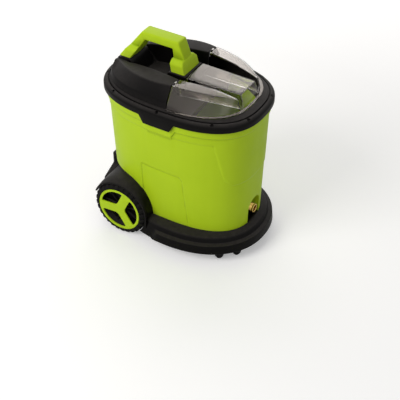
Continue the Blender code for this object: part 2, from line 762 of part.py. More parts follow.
def shape_lower_tier(base):
    """Behind its start the lower tier drops back to the upper one, with a wall across its end."""
    inset = TIER_INSET[-1]
    behind = (WHEEL_X, TIER_START_X)
    heights = (SKIRT_Z, TIER_Z[1])
    removed = box("tier_removed", (behind[0], -CUT_REACH, 0.0), (behind[1], CUT_REACH, TIER_Z[2]))
    cut(removed, loft("tier_kept", [ring(SKIRT, z, inset) for z in (-1.0, 1.0)]), solver="MANIFOLD")
    end = (TIER_START_X, TIER_START_X + SKIRT_WALL)
    join(base, skirt_block("tier_end", TIER_INSET[1], end, heights, inset - TIER_INSET[1] + SKIRT_WALL),
         skirt_block("tier_back", inset - FIT, (behind[0], end[1]), heights, SKIRT_WALL),
         solver="MANIFOLD")
    cut(base, removed, solver="MANIFOLD")


def housing_block(name, rear_x, inset, low):
    """Solid of the power housing, moved in by an inset, from a rear face to over the axle."""
    half, side_z = HOUSING_HALF_WIDTH - inset, HOUSING_SIDE_Z - inset
    shoulder_half, shoulder_z = HOUSING_SHOULDER[0] - inset, HOUSING_SHOULDER[1] - inset
    top_half, top_z = HOUSING_TOP[0] - inset / 2, HOUSING_TOP[1] - inset
    right = [(half, low), (half, side_z), (shoulder_half, shoulder_z), (top_half, top_z)]
    outline = right + [(-y, z) for y, z in reversed(right)]
    block = loft(name, [[Vector((x, y, z)) for y, z in outline] for x in (rear_x, WHEEL_X)])
    if not inset:
        soften = block.modifiers.new("soft_edges", "BEVEL")
        soften.width = HOUSING_BEVEL
        soften.segments = 2
        soften.limit_method = "ANGLE"
    return block


def bay_heights():
    return PACK_Z[0] - BAY_GAP - BAY_WALL, PACK_Z[1] + BAY_GAP + BAY_WALL


def foot_spots():
    """Places of the feet along the skirt's front, for the near side."""
    centre, half_length, half_width, power = SKIRT
    spots = []
    for where, turn in FOOT_TURNS.items():
        x = centre + (half_length - FOOT_INSET) * math.sin(turn) ** (2 / power)
        y = (half_width - FOOT_INSET) * math.cos(turn) ** (2 / power)
        spots.append((where, x, y))
    return spots


def make_feet():
    top = TRAY_FLOOR_Z - FIT
    for where, x, y in foot_spots():
        for side, word in ((-1, "right"), (1, "left")):
            turned("front_foot_%s_%s" % (where, word), [
                (0.0, top), (FOOT_RADIUS, top), (FOOT_RADIUS, SKIRT_Z - 0.006),
                (FOOT_RADIUS * 0.72, 0.006), (FOOT_RADIUS * 0.45, 0.0), (0.0, 0.0),
            ], (x, side * y, 0), (0, 0, 1), "rubber", 16, closed=False)


def tyre_ring(angle, lug):
    """Section of a tyre at one angle; a lug stands proud of the groove between lugs."""
    outer = WHEEL_RADIUS - (0.0 if lug else LUG_DEPTH)
    shoulder = outer - 0.007
    half = TYRE_WIDTH / 2
    section = [(TYRE_BORE, -half), (TYRE_BORE, half), (shoulder, half), (outer, half - 0.006),
               (outer, 0.006 - half), (shoulder, -half)]
    return [Vector((radius * math.cos(angle), y, radius * math.sin(angle))) for radius, y in section]


def make_wheel(side, word):
    """Tyre, core and spoke cover of one wheel; side is -1 or 1 along Y."""
    middle = side * (WHEEL_OUTER_Y - TYRE_WIDTH / 2)
    centre = (WHEEL_X, middle, WHEEL_RADIUS)
    rings = []
    for index in range(LUGS):
        for share, lug in ((0.0, True), (0.55, True), (0.75, False)):
            rings.append(tyre_ring(2 * math.pi * (index + share) / LUGS, lug))
    tyre = loft("tyre_" + word, rings, "rubber", endless=True, smooth=30)
    tyre.location = centre
    half = TYRE_WIDTH / 2
    seat = TYRE_BORE - FIT
    bore = AXLE_RADIUS + FIT
    cover_back = half - COVER_THICK - 0.001
    turned("wheel_core_" + word, [
        (seat, cover_back - FIT), (seat, 0.004 - half), (seat - 0.005, 0.004 - half),
        (seat - 0.008, -0.004), (0.018, -0.006), (0.014, 0.0015 - half), (bore, 0.0015 - half),
        (bore, 0.006), (0.013, 0.006), (0.013, -0.001), (seat - 0.010, 0.000),
        (seat - 0.004, cover_back - FIT),
    ], centre, (0, side, 0), "black_plastic", 26)
    cover = prism("spoke_cover_" + word, spoke_cover_outlines(), COVER_THICK / 2, "green_plastic")
    cover.location = (WHEEL_X, middle + side * (cover_back + COVER_THICK / 2), WHEEL_RADIUS)


def spoke_cover_outlines():
    """Ring and three flared spokes: the outside, then the three rounded openings."""
    rim_inner = COVER_RADIUS - COVER_RING
    outlines = [[(COVER_RADIUS * math.cos(2 * math.pi * i / 48),
                  COVER_RADIUS * math.sin(2 * math.pi * i / 48)) for i in range(48)]]
    for index in range(3):
        before = SPOKE_ANGLE + 2 * math.pi * index / 3
        after = before + 2 * math.pi / 3
        outlines.append(opening_outline(before, after, rim_inner))
    return outlines


def opening_outline(before, after, rim_inner):
    """One opening between two spokes, with rounded corners, as (x, z)."""
    middle = (before + after) / 2
    half_turn = math.asin(SPOKE_HALF / rim_inner) + SPOKE_FLARE * 0.5
    start, end = before + half_turn, after - half_turn
    corners = [Vector((rim_inner * math.cos(a), rim_inner * math.sin(a))) for a in (start, end)]
    hub = Vector((math.cos(middle), math.sin(middle))) * SPOKE_HALF * 2.1
    points = rounded_corner(hub, corners[0], rim_inner, start, 1)
    steps = 6
    first = start + OPENING_CORNER / rim_inner * 1.3
    last = end - OPENING_CORNER / rim_inner * 1.3
    points += [Vector((rim_inner * math.cos(first + (last - first) * i / steps),
                       rim_inner * math.sin(first + (last - first) * i / steps)))
               for i in range(steps + 1)]
    points += list(reversed(rounded_corner(hub, corners[1], rim_inner, end, -1)))
    points += hub_corner(corners[1], hub, corners[0])
    return [(point.x, point.y) for point in points]


def rounded_corner(hub, corner, radius, angle, turn):
    """Quadratic curve from a spoke's edge round on to the rim."""
    start = corner + (hub - corner).normalized() * OPENING_CORNER
    onward = angle + turn * OPENING_CORNER / radius * 1.3
    end = Vector((radius * math.cos(onward), radius * math.sin(onward)))
    return [curve_point(start, corner, end, t) for t in (0.0, 0.35, 0.7)]


def hub_corner(before, hub, after):
    """Quadratic curve round the end of an opening next to the hub."""
    reach = OPENING_CORNER * 1.8
    start = hub + (before - hub).normalized() * reach
    end = hub + (after - hub).normalized() * reach
    return [curve_point(start, hub, end, t) for t in (0.0, 0.33, 0.67, 1.0)]


def curve_point(start, bend, end, t):
    return start * (1 - t) ** 2 + bend * 2 * t * (1 - t) + end * t ** 2


def make_axle():
    half = WHEEL_OUTER_Y - 0.010
    rod("axle", (WHEEL_X, -half, WHEEL_RADIUS), (WHEEL_X, half, WHEEL_RADIUS), AXLE_RADIUS, "steel", 20)
    seat = WHEEL_OUTER_Y - TYRE_WIDTH / 2 + 0.006
    for side, word in ((-1, "right"), (1, "left")):
        turned("axle_push_nut_" + word, [
            (AXLE_RADIUS + FIT, seat + 0.0035), (0.0085, seat + 0.0022), (0.0085, seat + FIT),
            (AXLE_RADIUS + FIT, seat + FIT)], (WHEEL_X, 0, WHEEL_RADIUS), (0, side, 0), "steel", 16)


# ---------------------------------------------------------------- battery, bay, switch and board

def pack_box(name, grow, finish_name=None, bevel=0.0, front=0.0):
    rear = HOUSING_REAR_X - PACK_PROUD
    return box(name, (rear - (0.0 if finish_name else 0.05), -PACK_HALF_WIDTH - grow, PACK_Z[0] - grow),
               (rear + PACK_LENGTH + front, PACK_HALF_WIDTH + grow, PACK_Z[1] + grow), finish_name,
               bevel, 2)


def make_battery():
    rear = HOUSING_REAR_X - PACK_PROUD
    pack = pack_box("battery_case", 0.0, "black_plastic", 0.005)
    depth, width, height = BUTTON_SIZE
    button_z = PACK_Z[1] - BUTTON_DROP
    pocket = box("button_pocket", (rear - 0.01, -width / 2 - FIT, button_z - height / 2 - FIT),
                 (rear + depth + BUTTON_TRAVEL + FIT, width / 2 + FIT, button_z + height / 2 + FIT))
    cut(pack, pocket)
    for side in (-1, 1):
        slot = box("pack_slot_%d" % side,
                   (rear + 0.030, side * (PACK_HALF_WIDTH - 0.004), PACK_Z[1] - 0.016),
                   (rear + PACK_LENGTH + 0.01, side * (PACK_HALF_WIDTH + 0.01), PACK_Z[1] - 0.010))
        blade_slot = box("blade_slot_%d" % side,
                         (rear + PACK_LENGTH - BLADE[0] - 0.004, side * BLADE_Y - 0.0016,
                          PACK_Z[1] - BLADE_DROP - 0.006),
                         (rear + PACK_LENGTH + 0.01, side * BLADE_Y + 0.0016,
                          PACK_Z[1] - BLADE_DROP + 0.006))
        cut(pack, slot, blade_slot)
    box("battery_button", (rear, -width / 2, button_z - height / 2),
        (rear + depth, width / 2, button_z + height / 2), "green_plastic", 0.0015, 1)


def make_bay():
    """Sleeve that the battery slides into, with a rail each side and ears for the board."""
    low, high = bay_heights()
    half = PACK_HALF_WIDTH + BAY_GAP + BAY_WALL
    end = HOUSING_REAR_X - PACK_PROUD + PACK_LENGTH + BAY_GAP + BAY_WALL
    bay = box("battery_bay", (HOUSING_REAR_X + 0.0006, -half, low), (end, half, high), "black_plastic")
    cut(bay, pack_box("bay_space", BAY_GAP, front=BAY_GAP))
    for index, z in enumerate(BOARD_EAR_Z):
        join(bay, box("board_ear_%d" % index, (BOARD_X + BOARD_THICK + FIT, half - 0.002, z),
                      (BOARD_X + 0.008, half + 0.020, z + BOARD_EAR)))
    blade_z = PACK_Z[1] - BLADE_DROP
    for side, word in ((-1, "right"), (1, "left")):
        y = side * BLADE_Y
        gap = box("blade_gap_" + word, (end - 0.01, y - BLADE[1] / 2 - FIT,
                                        blade_z - BLADE[2] / 2 - FIT),
                  (end + 0.01, y + BLADE[1] / 2 + FIT, blade_z + BLADE[2] / 2 + FIT))
        cut(bay, gap)
        box("battery_terminal_" + word,
            (end - BAY_WALL - BLADE[0] + 0.002, y - BLADE[1] / 2, blade_z - BLADE[2] / 2),
            (end + 0.006, y + BLADE[1] / 2, blade_z + BLADE[2] / 2), "brass")


def make_board():
    half = PACK_HALF_WIDTH + BAY_GAP + BAY_WALL
    low, high_z = BOARD_Z
    board = box("control_board", (BOARD_X, half + 0.0015, low), (BOARD_X + BOARD_THICK, half + 0.046, high_z),
                "circuit_board")
    for index, (across, up, wide, high, deep) in enumerate((
            (0.011, 0.034, 0.014, 0.010, 0.006), (0.031, 0.036, 0.010, 0.014, 0.008),
            (0.019, 0.012, 0.018, 0.012, 0.005))):
        y, z = half + across, low + up
        join(board, box("board_block_%d" % index, (BOARD_X - deep, y - wide / 2, z - high / 2),
                        (BOARD_X + 0.0008, y + wide / 2, z + high / 2)))


def make_switch():
    """Rocker switch on the rear face, in its own bezel."""
    half_y, half_z = SWITCH_HALF
    rocker_y, rocker_z = ROCKER_HALF
    face = HOUSING_REAR_X
    rim_y, rim_z = half_y + BEZEL_RIM, half_z + BEZEL_RIM
    bezel = box("switch_bezel", (face - BEZEL_PROUD, SWITCH_Y - rim_y, SWITCH_Z - rim_z),
                (face - FIT, SWITCH_Y + rim_y, SWITCH_Z + rim_z), "black_plastic", 0.0008)
    body = box("switch_body", (face - BEZEL_PROUD / 2, SWITCH_Y - half_y, SWITCH_Z - half_z),
               (face + SWITCH_DEPTH, SWITCH_Y + half_y, SWITCH_Z + half_z))
    space_y, space_z = rocker_y + 0.0005, rocker_z + 0.0008
    space = box("switch_space", (face - SWITCH_DEPTH, SWITCH_Y - space_y, SWITCH_Z - space_z),
                (face + SWITCH_DEPTH - HOUSING_WALL, SWITCH_Y + space_y, SWITCH_Z + space_z))
    join(bezel, body)
    cut(bezel, space)
    rocker = prism("power_rocker", [[
        (0.004, -rocker_z + 0.001), (0.004, rocker_z - 0.001), (-0.0045, rocker_z),
        (-0.0022, 0.0), (-0.0045, -rocker_z)]], rocker_y, "green_plastic")
    rocker.matrix_world = (Matrix.Translation((face, SWITCH_Y, SWITCH_Z))
                           @ Matrix.Rotation(ROCKER_TILT, 4, "Y") @ rocker.matrix_world)


# ---------------------------------------------------------------- pump line

def make_pump_line():
    motor_low, motor_high = MOTOR_X
    turned("pump_motor", [
        (0.0, motor_high), (MOTOR_RADIUS - 0.004, motor_high), (MOTOR_RADIUS, motor_high - 0.003),
        (MOTOR_RADIUS, motor_low + 0.012), (MOTOR_RADIUS - 0.003, motor_low + 0.009),
        (MOTOR_RADIUS - 0.003, motor_low + 0.002), (MOTOR_RADIUS - 0.006, motor_low),
        (0.008, motor_low), (0.008, motor_low - 0.004), (0.0, motor_low - 0.004),
    ], (0, 0, PUMP_Z), (1, 0, 0), "motor_steel", 24, closed=False)
    pump_low, pump_high = PUMP_X
    turned("pump_head", [
        (0.0, pump_high), (PUMP_RADIUS - 0.003, pump_high), (PUMP_RADIUS, pump_high - 0.003),
        (PUMP_RADIUS, pump_high - 0.012), (PUMP_RADIUS - 0.005, pump_high - 0.015),
        (PUMP_RADIUS - 0.005, pump_low + 0.008), (PUMP_RADIUS, pump_low + 0.006),
        (PUMP_RADIUS, pump_low), (0.0, pump_low),
    ], (0, 0, PUMP_Z), (1, 0, 0), "aluminium", 24, closed=False)
    x_low, x_high = MANIFOLD_X
    z_low, z_high = MANIFOLD_Z
    manifold = box("pump_manifold", (x_low, -MANIFOLD_HALF_WIDTH, z_low),
                   (x_high, MANIFOLD_HALF_WIDTH, z_high - 0.006), "aluminium", 0.003)
    barb_top = TANK_FLOOR_Z - 0.0145
    join(manifold, rod("inlet_barb", (INLET_X, 0, z_high - 0.012), (INLET_X, 0, barb_top),
                       SPIGOT_RADIUS, sides=24),
         box("outlet_neck", (x_high - 0.005, -0.012, z_low + 0.020),
             (x_high - 0.0012, 0.012, z_high + 0.001)),
         rod("outlet_boss", (x_high - 0.004, 0, OUTLET_Z), (x_high + 0.003, 0, OUTLET_Z),
             PIPE_RADIUS + 0.003, sides=20))
    inner, outer = SPIGOT_RADIUS + FIT, SPIGOT_RADIUS + FIT + HOSE_WALL
    hose_low, hose_high = z_high - 0.006 + FIT, TANK_FLOOR_Z - TANK_FLOOR - FIT
    turned("suction_hose", [(inner, hose_high), (outer, hose_high), (outer, hose_low),
                            (inner, hose_low)], (INLET_X, 0, 0), (0, 0, 1), "rubber", 24)
    rod("pressure_pipe", (x_high + 0.003 + FIT, 0, OUTLET_Z),
        (RECESS_BACK_X - OUTLET_STEM_REACH - FIT, 0, OUTLET_Z), PIPE_RADIUS, "steel", 20)
    make_cradle("pump_cradle_rear", 0.018)
    make_cradle("pump_cradle_front", 0.0445)


def make_cradle(name, x):
    """Saddle that carries the motor on the tray's floor."""
    floor = TRAY_FLOOR_Z + TRAY_FLOOR + FIT
    saddle = box(name, (x - 0.006, -0.030, floor), (x + 0.006, 0.030, PUMP_Z - 0.006), "black_plastic",
                 0.001)
    cut(saddle, rod(name + "_seat", (x - 0.02, 0, PUMP_Z), (x + 0.02, 0, PUMP_Z), MOTOR_RADIUS + FIT,
                    sides=32))


def make_outlet():
    """Brass fitting through the recess's back wall, and the nut that clamps it there."""
    wall_out = RECESS_BACK_X + FIT
    wall_in = RECESS_BACK_X - TANK_WALL - FIT
    stem_end = RECESS_BACK_X - OUTLET_STEM_REACH
    lip, relief = 0.001, 0.0012
    thread_x = wall_out + OUTLET_HEX_LENGTH + 0.004
    fitting = turned("outlet_fitting", [
        (OUTLET_BORE, OUTLET_END_X), (OUTLET_TUBE - lip, OUTLET_END_X),
        (OUTLET_TUBE, OUTLET_END_X - lip), (OUTLET_TUBE, thread_x + lip),
        (OUTLET_TUBE - relief, thread_x), (OUTLET_TUBE - relief, wall_out + OUTLET_HEX_LENGTH / 2),
        (OUTLET_STEM, wall_out + OUTLET_HEX_LENGTH / 2), (OUTLET_STEM, stem_end),
        (OUTLET_PORT, stem_end), (OUTLET_PORT, OUTLET_END_X - 0.016),
        (OUTLET_BORE, OUTLET_END_X - 0.013),
    ], (0, 0, OUTLET_Z), (1, 0, 0), "brass", 20)
    hexagon = rod("outlet_hexagon", (wall_out, 0, OUTLET_Z),
                  (wall_out + OUTLET_HEX_LENGTH, 0, OUTLET_Z), OUTLET_HEX, sides=6)
    bore = rod("outlet_hexagon_bore", (wall_out - CUT_REACH, 0, OUTLET_Z),
               (wall_out + CUT_REACH, 0, OUTLET_Z), (OUTLET_STEM + OUTLET_PORT) / 2)
    join(fitting, cut(hexagon, bore))
    nut = rod("outlet_locknut", (wall_in - OUTLET_NUT_LENGTH, 0, OUTLET_Z), (wall_in, 0, OUTLET_Z),
              OUTLET_NUT, "brass", 6)
    cut(nut, rod("locknut_bore", (wall_in - CUT_REACH, 0, OUTLET_Z),
                 (wall_in + CUT_REACH, 0, OUTLET_Z), OUTLET_STEM + FIT, sides=24))


def make_leads():
    """Lead from the board, under the axle and through the housing's front wall, to the motor."""
    board_face = BOARD_X + BOARD_THICK
    wall_x = WHEEL_X + FENDER_HALF[0]
    touch = MOTOR_RADIUS + LEAD_RADIUS + FIT * 2
    board_y, board_z = LEAD_BOARD_Y, LEAD_BOARD_Z
    route = smooth_route([
        (board_face + FIT * 2, board_y, board_z), (board_face + 0.010, board_y, board_z),
        (board_face + 0.020, board_y, board_z - 0.008), (board_face + 0.028, board_y, board_z - 0.020),
        (WHEEL_X - 0.008, 0.071, 0.054), (WHEEL_X + 0.006, 0.068, 0.051),
        (WHEEL_X + 0.030, 0.056, 0.051),
        (wall_x - 0.020, LEAD_Y + 0.002, LEAD_Z), (wall_x, LEAD_Y, LEAD_Z),
        (MOTOR_X[0] + 0.004, 0.034, 0.070), (MOTOR_X[0] + 0.020, touch, PUMP_Z),
        (MOTOR_X[0] + 0.030, touch, PUMP_Z)], 3)
    tube("motor_lead", route, LEAD_RADIUS, "rubber", sides=1)


# ---------------------------------------------------------------- cowl, lid and hinge

def lerp(first, second, share):
    return first + (second - first) * share


def interpolate(table, x):
    """Value at x along a short table of (x, value) steps."""
    for (low, first), (high, second) in zip(table, table[1:]):
        if x <= high:
            return lerp(first, second, max(0.0, (x - low) / (high - low)))
    return table[-1][1]


def throat_half(x):
    """Half width of the opening's outline at x."""
    centre, half_length, half_width, power = THROAT
    share = min(1.0, abs(x - centre) / half_length)
    return half_width * (1 - share ** power) ** (1 / power)


def throat_end(y, end):
    """Where that outline lies along X, at its front (1) or rear (-1) end, for a given y."""
    centre, half_length, half_width, power = THROAT
    share = min(1.0, abs(y) / half_width)
    return centre + end * half_length * (1 - share ** power) ** (1 / power)


def half_section(x, spine, ridge, crease, valley_z, foot_z, flare=0.003):
    """Half section of cowl or lid: spine, valley, ridge, outer slope, foot."""
    spine_half, spine_z = spine
    ridge_in, ridge_out, ridge_z = ridge
    ridge_in = max(ridge_in, spine_half + flare * 3.4)
    crease_y, crease_z = crease
    return [Vector(point) for point in (
        (x, 0.0, spine_z), (x, spine_half, spine_z), (x, spine_half + flare, valley_z),
        (x, ridge_in - flare * 1.3, valley_z), (x, ridge_in, ridge_z), (x, ridge_out, ridge_z),
        (x, crease_y, crease_z), (x, throat_half(x), foot_z))]


def end_section(last, end, foot_z):
    """Foot of the end slope: each point of the last section carried out to the outline."""
    return [Vector((throat_end(point.y, end), point.y, foot_z)) for point in last]


def shell(name, rows, wall, finish_name, flange=0.0):
    """Half skin over rows of points, mirrored about Y = 0 and thickened inward."""
    if flange:
        outer = [spread(point, flange) for point in rows[-1]]
        outer.append(outer[-1])
        for row in rows:
            row.append(spread(row[-1], flange))
        rows.append(outer)
    build = bmesh.new()
    grid = [[build.verts.new(point) for point in row] for row in rows]
    for lower, upper in zip(grid, grid[1:]):
        for i in range(len(lower) - 1):
            build.faces.new((lower[i], upper[i], upper[i + 1], lower[i + 1]))
    bmesh.ops.remove_doubles(build, verts=build.verts, dist=0.00005)
    mesh = bpy.data.meshes.new(name)
    build.to_mesh(mesh)
    build.free()
    made = place(name, mesh, finish_name)
    mirror = made.modifiers.new("other_half", "MIRROR")
    mirror.use_axis = (False, True, False)
    mirror.merge_threshold = 0.0001
    thicken = made.modifiers.new("wall", "SOLIDIFY")
    thicken.thickness = wall
    thicken.offset = -1.0
    return made


def spread(point, distance):
    """A point of the opening's outline moved outward, square to the outline."""
    centre, half_length, half_width, power = THROAT
    offset = point.x - centre
    out = Vector((math.copysign(abs(offset / half_length) ** (power - 1) / half_length, offset),
                  math.copysign(abs(point.y / half_width) ** (power - 1) / half_width, point.y), 0.0))
    return point + out.normalized() * distance


def make_cowl():
    boundary = HINGE_X - SPLIT_GAP
    rows = []
    for x in COWL_ROWS:
        s = max(0.0, min(1.0, (x - COWL_TIP_X) / (boundary - COWL_TIP_X)))
        ridge_in = lerp(RIDGE_TIP, RIDGE_IN, s)
        ridge_out = ridge_in + RIDGE_WIDTH * s + 0.09 * s * (1 - s) + 0.006 * (1 - s)
        ridge_z = RIDGE_TIP_Z + (RIDGE_Z - RIDGE_TIP_Z) * (1 - (1 - s) ** 2)
        foot = throat_half(x)
        rows.append(half_section(
            x, (interpolate(COWL_SPINE_HALF, x), interpolate(COWL_SPINE, x)),
            (ridge_in, ridge_out, ridge_z), (foot - lerp(0.007, 0.004, s), lerp(0.417, CREASE_Z, s)),
            interpolate(COWL_VALLEY, x), LID_Z - 0.002, lerp(0.001, 0.003, min(1.0, s * 6))))
    rows.insert(0, end_section(rows[0], -1, LID_Z - 0.002))
    cowl = shell("rear_cowl", rows, COWL_WALL, "black_plastic")
    below = box("cowl_below", (-CUT_REACH, -CUT_REACH, LID_Z - 0.1), (CUT_REACH, CUT_REACH, LID_Z))
    inside = THROAT_WALL + COWL_WALL + 2 * FIT
    cut(below, loft("cowl_inside", [ring(THROAT, z, inside) for z in (LID_Z - 0.2, LID_Z + 0.1)]),
        solver="MANIFOLD")
    ahead = box("cowl_ahead", (boundary, -CUT_REACH, 0.3), (boundary + 0.1, CUT_REACH, 0.6))
    cut(cowl, below, ahead, solver="MANIFOLD")
    add_knuckles(cowl, "cowl", ((0, 1), (2, 3)), ((1, 2),))
    return cowl


def make_lid():
    boundary = HINGE_X + SPLIT_GAP
    foot_z = LID_Z + LID_WALL
    rows = []
    for x in (boundary - 0.003, 0.040, 0.070, 0.095, 0.118, 0.137, LID_FRONT_X):
        t = max(0.0, min(1.0, (x - HINGE_X) / (LID_FRONT_X - 0.007)))
        ridge_in = lerp(RIDGE_IN, 0.046, t)
        foot = throat_half(x)
        ridge_out = min(ridge_in + RIDGE_WIDTH * (1 - t * t) + 0.001, foot - 0.012)
        ridge_z = lerp(RIDGE_Z, 0.427, t * t)
        rows.append(half_section(
            x, (lerp(SPINE_HALF, SPINE_FRONT_HALF, t), SPINE_Z), (ridge_in, ridge_out, ridge_z),
            (foot - 0.003, lerp(0.416, 0.410, t)), lerp(VALLEY_Z - 0.001, 0.409, t), foot_z))
    last = rows[-1]
    rows.append([Vector((lerp(point.x, throat_end(point.y, 1), 0.45), point.y,
                         lerp(point.z, foot_z, 0.30))) for point in last])
    rows[-1][-1] = Vector(last[-1])
    rows.append(end_section(last, 1, foot_z))
    lid = shell("clear_lid", rows, LID_WALL, "clear_plastic", FLANGE)
    behind = box("lid_behind", (boundary - 0.1, -CUT_REACH, 0.3), (boundary, CUT_REACH, 0.6))
    below = box("lid_below", (-CUT_REACH, -CUT_REACH, LID_Z - 0.1), (CUT_REACH, CUT_REACH, LID_Z))
    cut(lid, behind, below, solver="MANIFOLD")
    add_knuckles(lid, "lid", ((1, 2),), ((0, 1), (2, 3)))
    return lid


def add_knuckles(target, word, own, others):
    """Hinge barrels of one shell, and room for those of the other, at both sides."""
    for side in (-1, 1):
        def barrel(kind, low, high, radius, sides=14):
            return rod("%s_%s_%d_%d" % (word, kind, round(low * 10000), side),
                       (HINGE_X, side * low, HINGE_Z), (HINGE_X, side * high, HINGE_Z), radius,
                       sides=sides)
        for first, last in others:
            cut(target, barrel("room", KNUCKLES[first] - FIT, KNUCKLES[last] + FIT,
                               BARREL_RADIUS + 0.0006), solver="MANIFOLD")
        for first, last in own:
            join(target, barrel("knuckle", KNUCKLES[first] + FIT, KNUCKLES[last] - FIT,
                                BARREL_RADIUS), solver="MANIFOLD")
        cut(target, barrel("pin_hole", KNUCKLES[0] - 0.012, KNUCKLES[-1] + 0.006,
                           PIN_RADIUS + FIT, 10), solver="MANIFOLD")


def make_hinge_pins():
    for side, word in ((-1, "right"), (1, "left")):
        rod("hinge_pin_" + word, (HINGE_X, side * KNUCKLES[0], HINGE_Z),
            (HINGE_X, side * KNUCKLES[-1], HINGE_Z), PIN_RADIUS, "steel", 12)


def make_deck():
    """Plate closing the rear of the rim's throat, below the cowl."""
    inset = THROAT_WALL + FIT
    deck = loft("deck_plate", [ring(THROAT, DECK_Z, inset), ring(THROAT, DECK_Z + DECK_THICK, inset)],
                "black_plastic")
    lip = box("deck_lip", (DECK_FRONT_X - DECK_THICK, -CUT_REACH, DECK_Z - 0.010),
              (DECK_FRONT_X, CUT_REACH, DECK_Z + DECK_THICK))
    room = loft("deck_room", [ring(THROAT, DECK_Z - 0.05, inset), ring(THROAT, DECK_Z + 0.05, inset)])
    combine(lip, room, "INTERSECT")
    ahead = box("deck_ahead", (DECK_FRONT_X, -CUT_REACH, 0.3), (CUT_REACH, CUT_REACH, 0.6))
    cut(deck, ahead)
    join(deck, lip)
    return deck


# ---------------------------------------------------------------- handle

def make_handle():
    foot = HANDLE_FOOT_Z
    sunk = foot - 0.008
    rear, front, grip = REAR_FOOT_X, FRONT_FOOT_X, GRIP_X
    under = HANDLE_Z - GRIP_DEPTH
    outline = [(rear[0], sunk), (rear[0], foot), (grip[0], HANDLE_Z), (grip[1], HANDLE_Z),
               (front[1], foot), (front[1], sunk), (front[0], sunk), (front[0], foot),
               (GRIP_UNDER_X[1], under), (GRIP_UNDER_X[0], under), (rear[1], foot), (rear[1], sunk)]
    handle = prism("carry_handle", [outline], GRIP_HALF_WIDTH, "green_plastic")
    soften = handle.modifiers.new("soft_edges", "BEVEL")
    soften.width = 0.0035
    soften.segments = 2
    soften.limit_method = "ANGLE"
    soften.angle_limit = math.radians(25)
    for word, (low, high), lean in (("rear", rear, 0.0205), ("front", front, -0.0065)):
        boss = loft(word + "_boss", [
            [Vector((x + lean * rise / BOSS_HEIGHT, y, foot + rise)) for x, y in (
                (low + inset, -half), (high - inset, -half), (high - inset, half), (low + inset, half))]
            for rise, half, inset in ((sunk - foot, FOOT_HALF_WIDTH, 0.0),
                                      (BOSS_HEIGHT - 0.009, FOOT_HALF_WIDTH - 0.001, 0.001),
                                      (BOSS_HEIGHT, GRIP_HALF_WIDTH + 0.006, 0.003))])
        join(handle, boss, solver="MANIFOLD")
    level = box("foot_level", (-CUT_REACH, -CUT_REACH, foot - 0.05), (CUT_REACH, CUT_REACH, foot))
    cut(handle, level, solver="MANIFOLD")
    ribs_start, ribs_end = GRIP_UNDER_X[0] + 0.005, GRIP_UNDER_X[1] - 0.004
    pitch = (ribs_end - ribs_start) / FINGER_RIBS
    for index in range(FINGER_RIBS):
        x = ribs_start + pitch * index
        cut(handle, box("grip_groove_%d" % index, (x, 0.004 - GRIP_HALF_WIDTH, under - 0.01),
                        (x + pitch * 0.45, GRIP_HALF_WIDTH - 0.004, under + 0.0015)),
            solver="MANIFOLD")
    return handle


make_cowl()
make_lid()
make_hinge_pins()
make_deck()
make_handle()
make_tank()
make_strainer()
make_rim()
make_seal()
make_base()
make_feet()
make_axle()
make_wheel(-1, "right")
make_wheel(1, "left")
make_battery()
make_bay()
make_board()
make_switch()
make_pump_line()
make_outlet()
make_leads()
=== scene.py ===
"""Looks of the cordless pressure washer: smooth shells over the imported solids, and their finishes.

Metres, +Z up.  +X is the end with the brass outlet, and the wheels are at the other end.
"""

import json
import math

import bmesh
import bpy
from mathutils import Matrix, Vector


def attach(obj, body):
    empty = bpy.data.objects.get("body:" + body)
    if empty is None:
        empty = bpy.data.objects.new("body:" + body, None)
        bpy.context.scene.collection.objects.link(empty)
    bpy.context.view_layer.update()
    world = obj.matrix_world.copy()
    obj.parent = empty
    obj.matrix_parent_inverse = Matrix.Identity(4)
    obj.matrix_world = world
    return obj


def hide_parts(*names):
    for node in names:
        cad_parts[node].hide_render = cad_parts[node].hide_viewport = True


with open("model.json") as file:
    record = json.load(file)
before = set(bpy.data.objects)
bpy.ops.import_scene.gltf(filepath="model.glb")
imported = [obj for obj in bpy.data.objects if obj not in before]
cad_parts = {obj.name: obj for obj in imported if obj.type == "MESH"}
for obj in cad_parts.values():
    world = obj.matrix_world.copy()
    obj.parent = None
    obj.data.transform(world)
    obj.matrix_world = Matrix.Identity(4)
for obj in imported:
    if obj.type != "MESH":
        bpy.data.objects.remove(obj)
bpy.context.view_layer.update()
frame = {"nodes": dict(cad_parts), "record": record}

# ---------------------------------------------------------------- camera, floor and lights

LENS = 90.0
CAMERA_PLACE = Vector((1.020, -1.6553, 1.6775))
CAMERA_AZIMUTH = math.radians(31)
CAMERA_ELEVATION = math.radians(40)
LIGHT_AIM = Vector((0.0, 0.0, 0.22))
AMBIENT = 0.30
FLOOR_HALF = 6.0
FLOOR_DROP = 0.0004         # keeps the floor's face off the feet
FLOOR_REACH = (0.8, 3.4)    # the floor's own light rises between these distances
FLOOR_GLOW = (0.32, 0.80)

scene = bpy.context.scene
scene.view_settings.view_transform = "Standard"


def link(made):
    scene.collection.objects.link(made)
    return made


def make_camera():
    lens = bpy.data.cameras.new("camera")
    lens.lens = LENS
    lens.sensor_width = 36.0
    lens.clip_start = 0.05
    camera = link(bpy.data.objects.new("camera", lens))
    camera.location = CAMERA_PLACE
    level = math.cos(CAMERA_ELEVATION)
    forward = Vector((-math.sin(CAMERA_AZIMUTH) * level, math.cos(CAMERA_AZIMUTH) * level,
                      -math.sin(CAMERA_ELEVATION)))
    camera.rotation_euler = forward.to_track_quat("-Z", "Y").to_euler()
    scene.camera = camera


